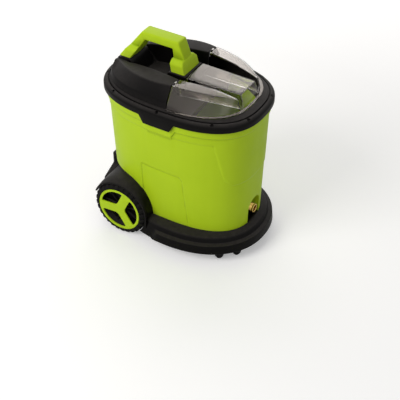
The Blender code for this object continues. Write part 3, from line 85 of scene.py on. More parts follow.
def make_lamp(name, place, size, watts, colour, mirrored=True):
    """A soft lamp aimed at the middle of the machine; reflections and clear parts may leave it out."""
    lamp = bpy.data.lights.new(name, "AREA")
    lamp.shape = "RECTANGLE"
    lamp.size, lamp.size_y = size
    lamp.energy = watts
    lamp.color = colour
    stand = link(bpy.data.objects.new(name, lamp))
    stand.location = place
    stand.rotation_euler = (LIGHT_AIM - Vector(place)).to_track_quat("-Z", "Y").to_euler()
    stand.visible_glossy = stand.visible_transmission = mirrored


def make_world(ambient):
    """White to the camera and in reflections, a soft even light on everything else."""
    world = bpy.data.worlds.new("studio")
    world.use_nodes = True
    tree = world.node_tree
    tree.nodes.clear()
    path = tree.nodes.new("ShaderNodeLightPath")
    seen = tree.nodes.new("ShaderNodeMath")
    seen.operation = "ADD"
    seen.use_clamp = True
    gloss = tree.nodes.new("ShaderNodeMath")
    gloss.operation = "ADD"
    strength = tree.nodes.new("ShaderNodeMapRange")
    strength.inputs["To Min"].default_value = ambient
    strength.inputs["To Max"].default_value = 1.0
    ground = tree.nodes.new("ShaderNodeBackground")
    ground.inputs["Color"].default_value = (1.0, 1.0, 1.0, 1.0)
    out = tree.nodes.new("ShaderNodeOutputWorld")
    tree.links.new(path.outputs["Is Camera Ray"], gloss.inputs[0])
    tree.links.new(path.outputs["Is Glossy Ray"], gloss.inputs[1])
    tree.links.new(gloss.outputs[0], seen.inputs[0])
    tree.links.new(path.outputs["Is Transmission Ray"], seen.inputs[1])
    tree.links.new(seen.outputs[0], strength.inputs["Value"])
    tree.links.new(strength.outputs["Result"], ground.inputs["Strength"])
    tree.links.new(ground.outputs[0], out.inputs["Surface"])
    scene.world = world


def make_floor():
    """A pale floor, white to the camera apart from the machine's soft shadow."""
    build = bmesh.new()
    bmesh.ops.create_grid(build, x_segments=24, y_segments=24, size=FLOOR_HALF)
    mesh = bpy.data.meshes.new("floor")
    build.to_mesh(mesh)
    build.free()
    floor = link(bpy.data.objects.new("floor", mesh))
    floor.location = (0.0, 0.0, -FLOOR_DROP)
    paper = bpy.data.materials.new("paper_floor")
    paper.use_nodes = True
    tree = paper.node_tree
    shader = tree.nodes["Principled BSDF"]
    shader.inputs["Roughness"].default_value = 0.9
    shader.inputs["Specular IOR Level"].default_value = 0.1
    shader.inputs["Emission Strength"].default_value = 1.0
    shader.inputs["Base Color"].default_value = (0.84, 0.84, 0.84, 1.0)
    path = tree.nodes.new("ShaderNodeLightPath")
    coords = tree.nodes.new("ShaderNodeTexCoord")
    reach = tree.nodes.new("ShaderNodeVectorMath")
    reach.operation = "LENGTH"
    glow = tree.nodes.new("ShaderNodeMapRange")
    for socket, value in zip(("From Min", "From Max", "To Min", "To Max"), FLOOR_REACH + FLOOR_GLOW):
        glow.inputs[socket].default_value = value
    shown = tree.nodes.new("ShaderNodeMath")
    shown.operation = "MULTIPLY"
    tree.links.new(coords.outputs["Object"], reach.inputs[0])
    tree.links.new(reach.outputs["Value"], glow.inputs["Value"])
    tree.links.new(glow.outputs["Result"], shown.inputs[0])
    tree.links.new(path.outputs["Is Camera Ray"], shown.inputs[1])
    tree.links.new(shown.outputs[0], shader.inputs["Emission Color"])
    mesh.materials.append(paper)


make_camera()
make_world(AMBIENT)
make_floor()
make_lamp("key_lamp", (-0.75, -1.75, 1.75), (1.3, 1.3), 31.0, (1.0, 0.975, 0.955), False)
make_lamp("front_lamp", (1.9, -0.9, 1.2), (1.2, 1.4), 2.4, (0.97, 0.985, 1.0))
make_lamp("sky_lamp", (-0.85, 1.35, 1.75), (2.4, 1.8), 20.0, (1.0, 0.965, 0.925))

# ---------------------------------------------------------------- shared shader effects


def new_group(name, inputs, outputs):
    """An empty node group with named sockets; inputs are (name, kind, value)."""
    group = bpy.data.node_groups.new(name, "ShaderNodeTree")
    for label, kind, value in inputs:
        socket = group.interface.new_socket(name=label, in_out="INPUT", socket_type=kind)
        if value is not None:
            socket.default_value = value
    for label, kind in outputs:
        group.interface.new_socket(name=label, in_out="OUTPUT", socket_type=kind)
    group.nodes.new("NodeGroupInput")
    group.nodes.new("NodeGroupOutput")
    return group


def put(tree, kind, settings=None, **values):
    """Add a node with its settings, and its sockets' values given by name."""
    made = tree.nodes.new("ShaderNode" + kind)
    for key, value in (settings or {}).items():
        setattr(made, key, value)
    for key, value in values.items():
        made.inputs[key.replace("_", " ")].default_value = value
    return made


def noise(tree, coords, scale, detail=3.0, roughness=0.55, squeeze=None):
    """A noise field over the object, stretched where a squeeze is given."""
    field = put(tree, "TexNoise", None, Detail=detail, Roughness=roughness)
    field.inputs["Scale"].default_value = scale
    if squeeze is None:
        tree.links.new(coords, field.inputs["Vector"])
    else:
        bend = put(tree, "Mapping", None, Scale=squeeze)
        tree.links.new(coords, bend.inputs["Vector"])
        tree.links.new(bend.outputs[0], field.inputs["Vector"])
    return field.outputs["Fac"]


def span(tree, value, low, high, start=0.0, end=1.0):
    """A value spread from one range to another, held at the ends."""
    made = put(tree, "MapRange", None, From_Min=low, From_Max=high, To_Min=start, To_Max=end)
    tree.links.new(value, made.inputs["Value"])
    return made.outputs["Result"]


def calc(tree, operation, first, second):
    """One sum on two sockets or numbers."""
    made = put(tree, "Math", {"operation": operation})
    for index, given in enumerate((first, second)):
        if isinstance(given, (int, float)):
            made.inputs[index].default_value = given
        else:
            tree.links.new(given, made.inputs[index])
    return made.outputs[0]


def blend_colours(tree, share, first, second, mode="MIX"):
    """Two colours mixed by a share; each is a socket or a colour."""
    made = put(tree, "Mix", {"data_type": "RGBA", "blend_type": mode})
    if isinstance(share, (int, float)):
        made.inputs["Factor"].default_value = share
    else:
        tree.links.new(share, made.inputs["Factor"])
    for index, given in ((6, first), (7, second)):
        if isinstance(given, tuple):
            made.inputs[index].default_value = given
        else:
            tree.links.new(given, made.inputs[index])
    return made.outputs[2]


def group_ends(group):
    return group.nodes["Group Input"].outputs, group.nodes["Group Output"].inputs


def scaled_noise(group, coords, scale, detail, roughness):
    """A noise field whose scale comes from one of the group's own sockets."""
    field = put(group, "TexNoise", None, Detail=detail, Roughness=roughness)
    group.links.new(coords, field.inputs["Vector"])
    group.links.new(scale, field.inputs["Scale"])
    return field.outputs["Fac"]


def give_mask(group, mask, amount, out):
    """The group's mask, scaled by its amount and held between 0 and 1."""
    clamp = put(group, "Math", {"operation": "MULTIPLY", "use_clamp": True})
    group.links.new(mask, clamp.inputs[0])
    group.links.new(amount, clamp.inputs[1])
    group.links.new(clamp.outputs[0], out)


def make_tone_group():
    """Slow changes of lightness and hue across a moulding, with flow streaks."""
    group = new_group("moulding_tone", (
        ("Colour", "NodeSocketColor", (0.5, 0.5, 0.5, 1.0)),
        ("Deep Colour", "NodeSocketColor", (0.3, 0.3, 0.3, 1.0)),
        ("Patch Scale", "NodeSocketFloat", 9.0),
        ("Amount", "NodeSocketFloat", 0.3)), (("Colour", "NodeSocketColor"),))
    given, out = group_ends(group)
    coords = put(group, "TexCoord").outputs["Object"]
    patches = scaled_noise(group, coords, given["Patch Scale"], 4.0, 0.6)
    streaks = noise(group, coords, 60.0, 2.0, 0.5, (1.0, 1.0, 0.12))
    mixed = calc(group, "ADD", span(group, patches, 0.3, 0.7),
                 span(group, streaks, 0.35, 0.75, 0.0, 0.35))
    share = calc(group, "MULTIPLY", mixed, given["Amount"])
    group.links.new(blend_colours(group, share, given["Colour"], given["Deep Colour"]), out[0])
    return group


def make_grain_group():
    """Height of a spark-eroded moulding texture, and the roughness that goes with it."""
    group = new_group("moulding_grain", (
        ("Grain Scale", "NodeSocketFloat", 900.0),
        ("Roughness Low", "NodeSocketFloat", 0.35),
        ("Roughness High", "NodeSocketFloat", 0.5)),
        (("Height", "NodeSocketFloat"), ("Roughness", "NodeSocketFloat")))
    given, out = group_ends(group)
    coords = put(group, "TexCoord").outputs["Object"]
    fine = scaled_noise(group, coords, given["Grain Scale"], 2.0, 0.6)
    pits = put(group, "TexVoronoi", {"feature": "F1"})
    group.links.new(coords, pits.inputs["Vector"])
    group.links.new(given["Grain Scale"], pits.inputs["Scale"])
    height = calc(group, "ADD", fine, calc(group, "MULTIPLY", pits.outputs["Distance"], 0.5))
    broad = noise(group, coords, 22.0, 4.0, 0.65)
    share = calc(group, "ADD", calc(group, "MULTIPLY", broad, 0.7),
                 calc(group, "MULTIPLY", fine, 0.3))
    rough = put(group, "MapRange", None, From_Min=0.35, From_Max=0.65)
    group.links.new(share, rough.inputs["Value"])
    group.links.new(given["Roughness Low"], rough.inputs["To Min"])
    group.links.new(given["Roughness High"], rough.inputs["To Max"])
    group.links.new(height, out["Height"])
    group.links.new(rough.outputs["Result"], out["Roughness"])
    return group


def make_wear_and_shade_group():
    """Mask of worn outside corners, broken up along them, and a mask of painted shade in hollows and
    creases.
    """
    group = new_group("edge_wear_and_crease_shade", (
        ("Amount", "NodeSocketFloat", 0.5),
        ("Break Scale", "NodeSocketFloat", 140.0)),
        (("Mask", "NodeSocketFloat"), ("Crease Shade", "NodeSocketFloat")))
    given, out = group_ends(group)
    coords = put(group, "TexCoord").outputs["Object"]
    point = put(group, "NewGeometry").outputs["Pointiness"]
    edge = span(group, point, 0.515, 0.60)
    # painted shade: concave places (low pointiness) give a mask that darkens creases and hollows
    group.links.new(span(group, point, 0.465, 0.496, 0.8, 0.0), out["Crease Shade"])
    broken = scaled_noise(group, coords, given["Break Scale"], 3.0, 0.7)
    mask = calc(group, "MULTIPLY", edge, span(group, broken, 0.35, 0.7, 0.25, 1.0))
    give_mask(group, mask, given["Amount"], out["Mask"])
    return group


def make_dust_group():
    """Mask of fine dust that settles on faces turned upward and in hollows."""
    group = new_group("settled_dust", (
        ("Amount", "NodeSocketFloat", 0.1),
        ("Speck Scale", "NodeSocketFloat", 75.0)), (("Mask", "NodeSocketFloat"),))
    given, out = group_ends(group)
    coords = put(group, "TexCoord").outputs["Object"]
    shape = put(group, "NewGeometry")
    facing = put(group, "SeparateXYZ")
    group.links.new(shape.outputs["Normal"], facing.inputs[0])
    up = span(group, facing.outputs["Z"], 0.5, 0.97, 0.02, 1.0)
    hollow = span(group, shape.outputs["Pointiness"], 0.42, 0.5, 1.0, 0.70)
    specks = scaled_noise(group, coords, given["Speck Scale"], 5.0, 0.7)
    mask = calc(group, "MULTIPLY", calc(group, "MULTIPLY", up, hollow),
                span(group, specks, 0.3, 0.7, 0.55, 1.0))
    give_mask(group, mask, given["Amount"], out["Mask"])
    return group


def make_scratch_group():
    """Mask of hairline rubs, in two directions."""
    group = new_group("hairline_rubs", (("Amount", "NodeSocketFloat", 0.2),),
                      (("Mask", "NodeSocketFloat"),))
    given, out = group_ends(group)
    coords = put(group, "TexCoord").outputs["Object"]
    first = span(group, noise(group, coords, 420.0, 2.0, 0.5, (1.0, 0.04, 0.08)), 0.62, 0.72)
    second = span(group, noise(group, coords, 380.0, 2.0, 0.5, (0.05, 1.0, 0.3)), 0.64, 0.74)
    both = calc(group, "ADD", first, second)
    group.links.new(calc(group, "MULTIPLY", both, given["Amount"]), out["Mask"])
    return group


TONE = make_tone_group()
GRAIN = make_grain_group()
WEAR_AND_SHADE = make_wear_and_shade_group()
DUST = make_dust_group()
RUBS = make_scratch_group()


def use(tree, group, **values):
    """Place a shared effect in a material, with its own values."""
    made = tree.nodes.new("ShaderNodeGroup")
    made.node_tree = group
    for key, value in values.items():
        made.inputs[key.replace("_", " ")].default_value = value
    return made


def rgba(colour, scale=1.0):
    return (*(part * scale for part in colour), 1.0)


def start_material(name):
    made = bpy.data.materials.new(name)
    made.use_nodes = True
    return made, made.node_tree, made.node_tree.nodes["Principled BSDF"]


def bump(tree, shader, height, strength, distance):
    made = put(tree, "Bump", None, Strength=strength, Distance=distance)
    tree.links.new(height, made.inputs["Height"])
    tree.links.new(made.outputs[0], shader.inputs["Normal"])


def moulded(name, colour, deep, worn, dust_colour, rough, grain, relief, amounts, gloss):
    """A moulded plastic or rubber; amounts are of patches, wear, dust and rubs."""
    made, tree, shader = start_material(name)
    shader.inputs["Specular IOR Level"].default_value = gloss
    patches, wear, dust, rubs = amounts
    tone = use(tree, TONE, Colour=rgba(colour), Deep_Colour=rgba(deep), Amount=patches)
    texture = use(tree, GRAIN, Grain_Scale=grain, Roughness_Low=rough[0], Roughness_High=rough[1])
    wear_and_shade = use(tree, WEAR_AND_SHADE, Amount=wear)
    settled = use(tree, DUST, Amount=dust)
    hairs = use(tree, RUBS, Amount=rubs)
    # painted shade: creases and hollows are darkened towards the deep colour
    sunk = blend_colours(tree, wear_and_shade.outputs["Crease Shade"], tone.outputs[0], rgba(deep, 0.45))
    edged = blend_colours(tree, wear_and_shade.outputs[0], sunk, rgba(worn))
    dusted = blend_colours(tree, settled.outputs[0], edged, rgba(dust_colour))
    tree.links.new(dusted, shader.inputs["Base Color"])
    rough_more = calc(tree, "ADD", texture.outputs["Roughness"],
                      calc(tree, "MULTIPLY", settled.outputs[0], 0.4))
    rough_less = calc(tree, "SUBTRACT", rough_more, hairs.outputs[0])
    tree.links.new(rough_less, shader.inputs["Roughness"])
    bump(tree, shader, texture.outputs["Height"], relief, 0.0002)
    return made


def metal(name, colour, deep, rough, brushed, wear):
    """A bare metal with tarnish, fine turning marks and brighter edges."""
    made, tree, shader = start_material(name)
    shader.inputs["Metallic"].default_value = 1.0
    tone = use(tree, TONE, Colour=rgba(colour), Deep_Colour=rgba(deep), Patch_Scale=45.0, Amount=0.7)
    wear_and_shade = use(tree, WEAR_AND_SHADE, Amount=wear, Break_Scale=260.0)
    bright = blend_colours(tree, wear_and_shade.outputs[0], tone.outputs[0], rgba(colour, 1.15))
    tree.links.new(bright, shader.inputs["Base Color"])
    texture = use(tree, GRAIN, Grain_Scale=1500.0, Roughness_Low=rough[0], Roughness_High=rough[1])
    tree.links.new(texture.outputs["Roughness"], shader.inputs["Roughness"])
    coords = put(tree, "TexCoord").outputs["Object"]
    marks = noise(tree, coords, 900.0, 2.0, 0.5, brushed)
    bump(tree, shader, marks, 0.25, 0.0001)
    return made


def clear_material():
    """Smoke-tinted clear moulding: polished, with faint rubs; light passes through to the inside."""
    made, tree, shader = start_material("clear_plastic_fine")
    shader.inputs["Transmission Weight"].default_value = 1.0
    shader.inputs["IOR"].default_value = 1.49
    shader.inputs["Specular Tint"].default_value = (1.0, 0.91, 0.82, 1.0)
    tone = use(tree, TONE, Colour=(0.93, 0.905, 0.88, 1.0), Deep_Colour=(0.87, 0.845, 0.82, 1.0),
               Patch_Scale=14.0, Amount=0.5)
    tree.links.new(tone.outputs[0], shader.inputs["Base Color"])
    texture = use(tree, GRAIN, Grain_Scale=240.0, Roughness_Low=0.0, Roughness_High=0.008)
    hairs = use(tree, RUBS, Amount=0.02)
    tree.links.new(calc(tree, "ADD", texture.outputs["Roughness"], hairs.outputs[0]),
                   shader.inputs["Roughness"])
    shadow = put(tree, "LightPath").outputs["Is Shadow Ray"]
    tree.links.new(calc(tree, "SUBTRACT", 1.0, shadow), shader.inputs["Alpha"])
    return made


def board_material():
    """Lacquered board with copper tracks showing through."""
    made, tree, shader = start_material("circuit_board_fine")
    coords = put(tree, "TexCoord").outputs["Object"]
    tracks = put(tree, "TexBrick", {"offset": 0.5}, Mortar_Size=0.12, Scale=260.0)
    tree.links.new(coords, tracks.inputs["Vector"])
    tone = use(tree, TONE, Colour=(0.010, 0.090, 0.035, 1.0), Deep_Colour=(0.004, 0.045, 0.02, 1.0),
               Patch_Scale=60.0, Amount=0.6)
    green = blend_colours(tree, tracks.outputs["Fac"], tone.outputs[0], (0.03, 0.16, 0.06, 1.0))
    tree.links.new(green, shader.inputs["Base Color"])
    texture = use(tree, GRAIN, Grain_Scale=700.0, Roughness_Low=0.25, Roughness_High=0.4)
    tree.links.new(texture.outputs["Roughness"], shader.inputs["Roughness"])
    bump(tree, shader, tracks.outputs["Fac"], 0.3, 0.0001)
    return made


GREEN = moulded("green_plastic_fine", (0.490, 0.690, 0.017), (0.415, 0.620, 0.010),
                (0.61, 0.76, 0.11), (0.56, 0.66, 0.20), (0.34, 0.46), 1100.0, 0.10,
                (0.35, 0.30, 0.05, 0.05), 0.12)
BLACK = moulded("black_plastic_fine", (0.0045, 0.0039, 0.0038), (0.0030, 0.0027, 0.0026),
                (0.050, 0.045, 0.043), (0.078, 0.070, 0.066), (0.30, 0.44), 900.0, 0.35,
                (0.6, 0.45, 0.55, 0.05), 0.08)
RUBBER = moulded("rubber_fine", (0.0060, 0.0057, 0.0055), (0.004, 0.004, 0.004),
                 (0.022, 0.021, 0.020), (0.05, 0.046, 0.040), (0.6, 0.8), 700.0, 0.5,
                 (0.6, 0.3, 0.30, 0.0), 0.12)
TYRE = moulded("tyre_rubber_fine", (0.0058, 0.0054, 0.0052), (0.0040, 0.0039, 0.0038),
               (0.028, 0.026, 0.025), (0.06, 0.055, 0.048), (0.55, 0.78), 600.0, 0.6,
               (0.6, 0.35, 0.35, 0.0), 0.12)
BRASS = metal("brass_fine", (0.76, 0.52, 0.15), (0.48, 0.30, 0.07), (0.16, 0.30), (0.05, 1, 1), 0.6)
STEEL = metal("steel_fine", (0.62, 0.62, 0.63), (0.42, 0.42, 0.44), (0.22, 0.38), (1, 1, 0.06), 0.5)
MOTOR_STEEL = metal("motor_steel_fine", (0.34, 0.35, 0.36), (0.22, 0.23, 0.25), (0.3, 0.5),
                    (0.06, 1, 1), 0.4)
ALUMINIUM = metal("aluminium_fine", (0.74, 0.74, 0.75), (0.55, 0.55, 0.57), (0.32, 0.5),
                  (1, 1, 1), 0.3)
SCREW = metal("screw_black_fine", (0.016, 0.015, 0.015), (0.008, 0.008, 0.008), (0.35, 0.5),
              (1, 1, 1), 0.6)
CLEAR = clear_material()
BOARD = board_material()

SLOT_FINISH = {
    "green_plastic": GREEN, "black_plastic": BLACK, "clear_plastic": CLEAR, "rubber": RUBBER,
    "tyre": TYRE, "steel": STEEL, "motor_steel": MOTOR_STEEL, "aluminium": ALUMINIUM,
    "brass": BRASS, "circuit_board": BOARD,
}

# ---------------------------------------------------------------- shapes

FIT = 0.0003
SEAT_GAP = 0.0006
REACH = 0.4

TANK_X = -0.006
OUTLINE_POWER = 2.6
TANK_TOP = (TANK_X, 0.194, 0.133, OUTLINE_POWER)
TANK_FOOT = (TANK_X, 0.185, 0.118, OUTLINE_POWER)
RIM = (TANK_X, 0.203, 0.142, OUTLINE_POWER)
THROAT = (-0.016, 0.178, 0.123, OUTLINE_POWER)
SKIRT = (0.012, 0.200, 0.160, 2.2)

TANK_FOOT_Z = 0.068
TANK_FLOOR_Z = 0.126
RIM_Z = 0.377
RIM_TOP_Z = 0.4015
LID_Z = RIM_TOP_Z + FIT
TANK_WALL = 0.004
LIP_HEIGHT = 0.020
LIP_PROUD = 0.003
TAB_HALF = (0.0465, 0.035)
TAB_DROP = 0.020
WHEEL_CENTRE = Vector((-0.118, 0.0, 0.072))


def lerp(first, second, share):
    return first + (second - first) * share


def held(value, low=0.0, high=1.0):
    return max(low, min(high, value))


def eased_step(value):
    """A smooth rise from 0 at -1 to 1 at 1."""
    share = held((value + 1) / 2)
    return share * share * (3 - 2 * share)


def on_outline(shape, angle, inset=0.0):
    centre, half_length, half_width, power = shape
    cosine, sine = math.cos(angle), math.sin(angle)
    return (centre + (half_length - inset) * math.copysign(abs(cosine) ** (2 / power), cosine),
            (half_width - inset) * math.copysign(abs(sine) ** (2 / power), sine))


def tab_share(angle):
    """How far the tab hangs at an angle, with its corners eased."""
    offset = abs(math.cos(angle)) ** (2 / OUTLINE_POWER) * RIM[1]
    top, foot = TAB_HALF
    shares = [held((top - offset + shift) / (top - foot)) for shift in (-.0012, -.0006, 0, .0006, .0012)]
    return sum(shares) / len(shares)


def ring_plan(count):
    """Angles spaced evenly along the rim, with closer ones at the tab's corners."""
    fine = 4000
    spots = [on_outline(RIM, 2 * math.pi * step / fine) for step in range(fine + 1)]
    lengths = [0.0]
    for (x, y), (next_x, next_y) in zip(spots, spots[1:]):
        lengths.append(lengths[-1] + math.hypot(next_x - x, next_y - y))
    angles = []
    step = 0
    for index in range(count):
        while lengths[step] < lengths[-1] * index / count:
            step += 1
        angles.append(2 * math.pi * step / fine)
    for corner in TAB_HALF:
        for shift in (-0.0024, -0.0012, 0.0, 0.0012, 0.0024):
            angle = math.acos(((corner + shift) / RIM[1]) ** (OUTLINE_POWER / 2))
            angles += [angle, math.pi - angle, math.pi + angle, 2 * math.pi - angle]
    angles = sorted(angles)
    return [a for a, b in zip(angles, [*angles[1:], 7.0]) if b - a > 0.0015]


RING = ring_plan(240)
SHARES = [tab_share(angle) for angle in RING]


def ring(shape, z, inset=0.0, drop=0.0):
    """Points round an outline, moved in by an inset; the tabs hang by a drop."""
    return [Vector((*on_outline(shape, angle, inset), z - drop * share))
            for angle, share in zip(RING, SHARES)]


def mixed_shape(first, second, share):
    return tuple(lerp(a, b, share) for a, b in zip(first, second))


def tank_at(z):
    return mixed_shape(TANK_FOOT, TANK_TOP, (z - TANK_FOOT_Z) / (RIM_Z - TANK_FOOT_Z))


def eased_corner(before, corner, after, radius, steps):
    """Points of a small curve that rounds one corner."""
    back, onward = before - corner, after - corner
    room_back, room_onward = back.length, onward.length
    if min(room_back, room_onward) < 1e-7:
        return [corner.copy() for _ in range(steps)]
    start = corner + back * (min(radius, 0.45 * room_back) / room_back)
    end = corner + onward * (min(radius, 0.45 * room_onward) / room_onward)
    curve = []
    for index in range(steps):
        t = index / (steps - 1)
        curve.append(start * (1 - t) ** 2 + corner * 2 * t * (1 - t) + end * t ** 2)
    return curve


def eased(rows, radius, closed=True, steps=4, keep=()):
    """Rows of points with the corners between one row and the next rounded."""
    last = len(rows) - 1
    result = []
    for index, row in enumerate(rows):
        size = radius[index] if isinstance(radius, (list, tuple)) else radius
        if (not closed and index in (0, last)) or index in keep or size == 0:
            result.append([point.copy() for point in row])
            continue
        before, after = rows[index - 1], rows[(index + 1) % len(rows)]
        curves = [eased_corner(*three, size, steps) for three in zip(before, row, after)]
        result += [[curve[step] for curve in curves] for step in range(steps)]
    return result


def eased_line(points, radius, closed=False, steps=4):
    """One line of points with its corners rounded; a radius may be given for each."""
    rows = eased([[Vector(point)] for point in points], radius, closed, steps)
    return [row[0] for row in rows]


def place(name, mesh, smooth=35):
    made = link(bpy.data.objects.new(name, mesh))
    mesh.shade_smooth()
    mesh.set_sharp_from_angle(angle=math.radians(smooth))
    return made


def take(build, name, smooth=35):
    bmesh.ops.remove_doubles(build, verts=build.verts, dist=1e-6)
    bmesh.ops.recalc_face_normals(build, faces=build.faces)
    mesh = bpy.data.meshes.new(name)
    build.to_mesh(mesh)
    build.free()
    return place(name, mesh, smooth)


def lofted(rings, endless=False):
    """A closed skin over rings of equal length, as a bmesh."""
    build = bmesh.new()
    loops = [[build.verts.new(point) for point in points] for points in rings]
    count = len(loops[0])
    pairs = list(zip(loops, loops[1:]))
    if endless:
        pairs.append((loops[-1], loops[0]))
    else:
        build.faces.new(loops[0])
        build.faces.new(list(reversed(loops[-1])))
    for lower, upper in pairs:
        for i in range(count):
            j = (i + 1) % count
            build.faces.new((lower[i], lower[j], upper[j], upper[i]))
    return build


def loft(name, rings, endless=False, smooth=35):
    return take(lofted(rings, endless), name, smooth)


def turned(name, profile, origin, axis, sides=64, radius=0.0, smooth=35):
    """A profile of (radius, height) points turned about an axis, its corners rounded."""
    points = [Vector((out, 0.0, along)) for out, along in profile]
    if radius:
        points = eased_line(points, radius, True, 4)
    build = bmesh.new()
    turn = Vector(axis).to_track_quat("Z", "Y").to_matrix()
    loops = []
    for index in range(sides):
        spin = Matrix.Rotation(2 * math.pi * index / sides, 3, "Z")
        loops.append([build.verts.new(Vector(origin) + turn @ (spin @ point)) for point in points])
    for first, second in zip(loops, [*loops[1:], loops[0]]):
        for i in range(len(points)):
            j = (i + 1) % len(points)
            if max(points[i].x, points[j].x) > 1e-7:
                corners = [first[i], first[j], second[j], second[i]]
                build.faces.new(corners)
    bmesh.ops.remove_doubles(build, verts=build.verts, dist=1e-6)
    bmesh.ops.dissolve_degenerate(build, edges=build.edges, dist=1e-6)
    return take(build, name, smooth)


def rod(name, start, end, radius, sides=32, end_radius=None):
    start, end = Vector(start), Vector(end)
    along = (end - start).length
    last = radius if end_radius is None else end_radius
    return turned(name, [(0.0, 0.0), (radius, 0.0), (last, along), (0.0, along)], start,
                  (end - start).normalized(), sides)


def box(name, low, high, bevel=0.0, segments=3):
    low, high = Vector(low), Vector(high)
    build = bmesh.new()
    bmesh.ops.create_cube(build, size=1.0)
    bmesh.ops.scale(build, vec=high - low, verts=build.verts)
    bmesh.ops.translate(build, vec=(low + high) / 2, verts=build.verts)
    if bevel:
        bmesh.ops.bevel(build, geom=build.edges[:], offset=bevel, segments=segments,
                        affect="EDGES", profile=0.5)
    return take(build, name)


def prism(name, outline, low, high, axis="Y", bevel=0.0, segments=3, smooth=35):
    """A flat outline given thickness along an axis: (x, z) along Y, (y, z) along X, (x, y) along Z."""
    spots = {"Y": lambda a, b, c: (a, c, b), "X": lambda a, b, c: (c, a, b),
             "Z": lambda a, b, c: (a, b, c)}[axis]
    rings = [[Vector(spots(a, b, level)) for a, b in outline] for level in (low, high)]
    build = lofted(rings)
    bmesh.ops.recalc_face_normals(build, faces=build.faces)
    if bevel:
        sharp = [edge for edge in build.edges if edge.calc_face_angle(0.0) > math.radians(25)]
        bmesh.ops.bevel(build, geom=sharp, offset=bevel, segments=segments, affect="EDGES",
                        profile=0.5)
    return take(build, name, smooth)


def combine(target, tool, operation):
    change = target.modifiers.new(operation.lower(), "BOOLEAN")
    change.operation = operation
    change.solver = "MANIFOLD"
    change.object = tool
    return target


def cut(target, *tools):
    for tool in tools:
        combine(target, tool, "DIFFERENCE")
    return target


def join(target, *tools):
    for tool in tools:
        combine(target, tool, "UNION")
    return target


def settle(made, smooth=35):
    """Make a piece's modifiers final and clear away the shapes that cut it."""
    bpy.context.view_layer.update()
    depsgraph = bpy.context.evaluated_depsgraph_get()
    final = bpy.data.meshes.new_from_object(made.evaluated_get(depsgraph))
    tools = [change.object for change in made.modifiers if change.type == "BOOLEAN"]
    made.modifiers.clear()
    made.data = final
    for tool in tools:
        bpy.data.objects.remove(tool, do_unlink=True)
    final.materials.clear()
    final.shade_smooth()
    final.set_sharp_from_angle(angle=math.radians(smooth))
    return made


def dress(made, material, body="machine", stands_for=()):
    """Give a piece its finish and its body, and hide the solids that it stands for."""
    made.data.materials.clear()
    made.data.materials.append(material)
    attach(made, body)
    if stands_for:
        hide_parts(*stands_for)
    return made

# ---------------------------------------------------------------- tank

LINE_WIDTH = 0.0025
PANEL_DEPTH = 0.0015
SIDE_PANEL_DEPTH = 0.0009
SIDE_PANEL_EDGE = 0.0009
EDGE_FADE = 0.012
PANEL_LINE = ((-0.6, 0.335), (0.127, 0.335), (0.146, 0.232), (0.160, 0.213), (0.6, 0.213),
              (0.6, -0.1), (-0.6, -0.1))
SIDE_PANEL = ((-0.063, 0.222), (0.042, 0.220), (0.049, 0.211), (0.066, 0.02), (-0.070, 0.02),
              (-0.067, 0.213))
FENDER_HALF = (0.0770, 0.0860)
FENDER_LIP = (0.0768, 0.0780)
FENDER_END_Z = 0.102
FENDER_GAP = 0.0015
RECESS_BACK_X = 0.146
RECESS_HALF = 0.027
RECESS_TOP_Z = 0.134
OUTLET_Z = 0.098
OUTLET_HOLE = 0.0078
INLET_X = 0.108
INLET_HOLE = 0.0083


def inside_by(outline, x, z):
    """Distance inside a flat outline, negative outside."""
    nearest = 1e9
    inside = False
    for (x0, z0), (x1, z1) in zip(outline, [*outline[1:], outline[0]]):
        run_x, run_z = x1 - x0, z1 - z0
        share = held(((x - x0) * run_x + (z - z0) * run_z) / (run_x ** 2 + run_z ** 2))
        nearest = min(nearest, math.hypot(x - x0 - run_x * share, z - z0 - run_z * share))
        if (z0 > z) != (z1 > z) and x < x0 + run_x * (z - z0) / run_z:
            inside = not inside
    return nearest if inside else -nearest


def fender_arch(half, grow=0.0, steps=48, low=0.028, rear=None):
    """Arch over a wheel as (x, z); with a rear, its top runs level to there."""
    half_x, half_z = half[0] + grow, half[1] + grow
    centre_x, centre_z = WHEEL_CENTRE.x, WHEEL_CENTRE.z
    turn = math.pi if rear is None else math.pi / 2
    points = [(centre_x + half_x, low)]
    for step in range(steps + 1):
        angle = turn * step / steps
        points.append((centre_x + half_x * math.cos(angle), centre_z + half_z * math.sin(angle)))
    if rear is None:
        return [*points, (centre_x - half_x, low)]
    return [*points, (rear, centre_z + half_z), (rear, low)]


def recess_block(name, grow):
    """Solid of the outlet's recess, arched at the top and open in front and below."""
    half = RECESS_HALF + grow
    crown = RECESS_TOP_Z + grow
    outline = [(-half, 0.0)]
    for step in range(33):
        angle = math.pi * (1 - step / 32)
        outline.append((half * math.cos(angle), crown - half + half * math.sin(angle)))
    outline.append((half, 0.0))
    return prism(name, outline, RECESS_BACK_X - grow, RECESS_BACK_X - grow + REACH, "X")


def relief_lines(build):
    """Edges along the panels' outlines, so that their steps are crisp."""
    for outline in (PANEL_LINE[:5], (*SIDE_PANEL, SIDE_PANEL[0])):
        for (x0, z0), (x1, z1) in zip(outline, outline[1:]):
            across = Vector((-(z1 - z0), 0.0, x1 - x0)).normalized()
            for offset in (-2.2, -1.0, 0.0, 1.0, 2.2):
                spot = Vector((x0, 0.0, z0)) + across * offset * LINE_WIDTH
                bmesh.ops.bisect_plane(build, geom=build.verts[:] + build.edges[:] + build.faces[:],
                                       dist=1e-6, plane_co=spot, plane_no=across)


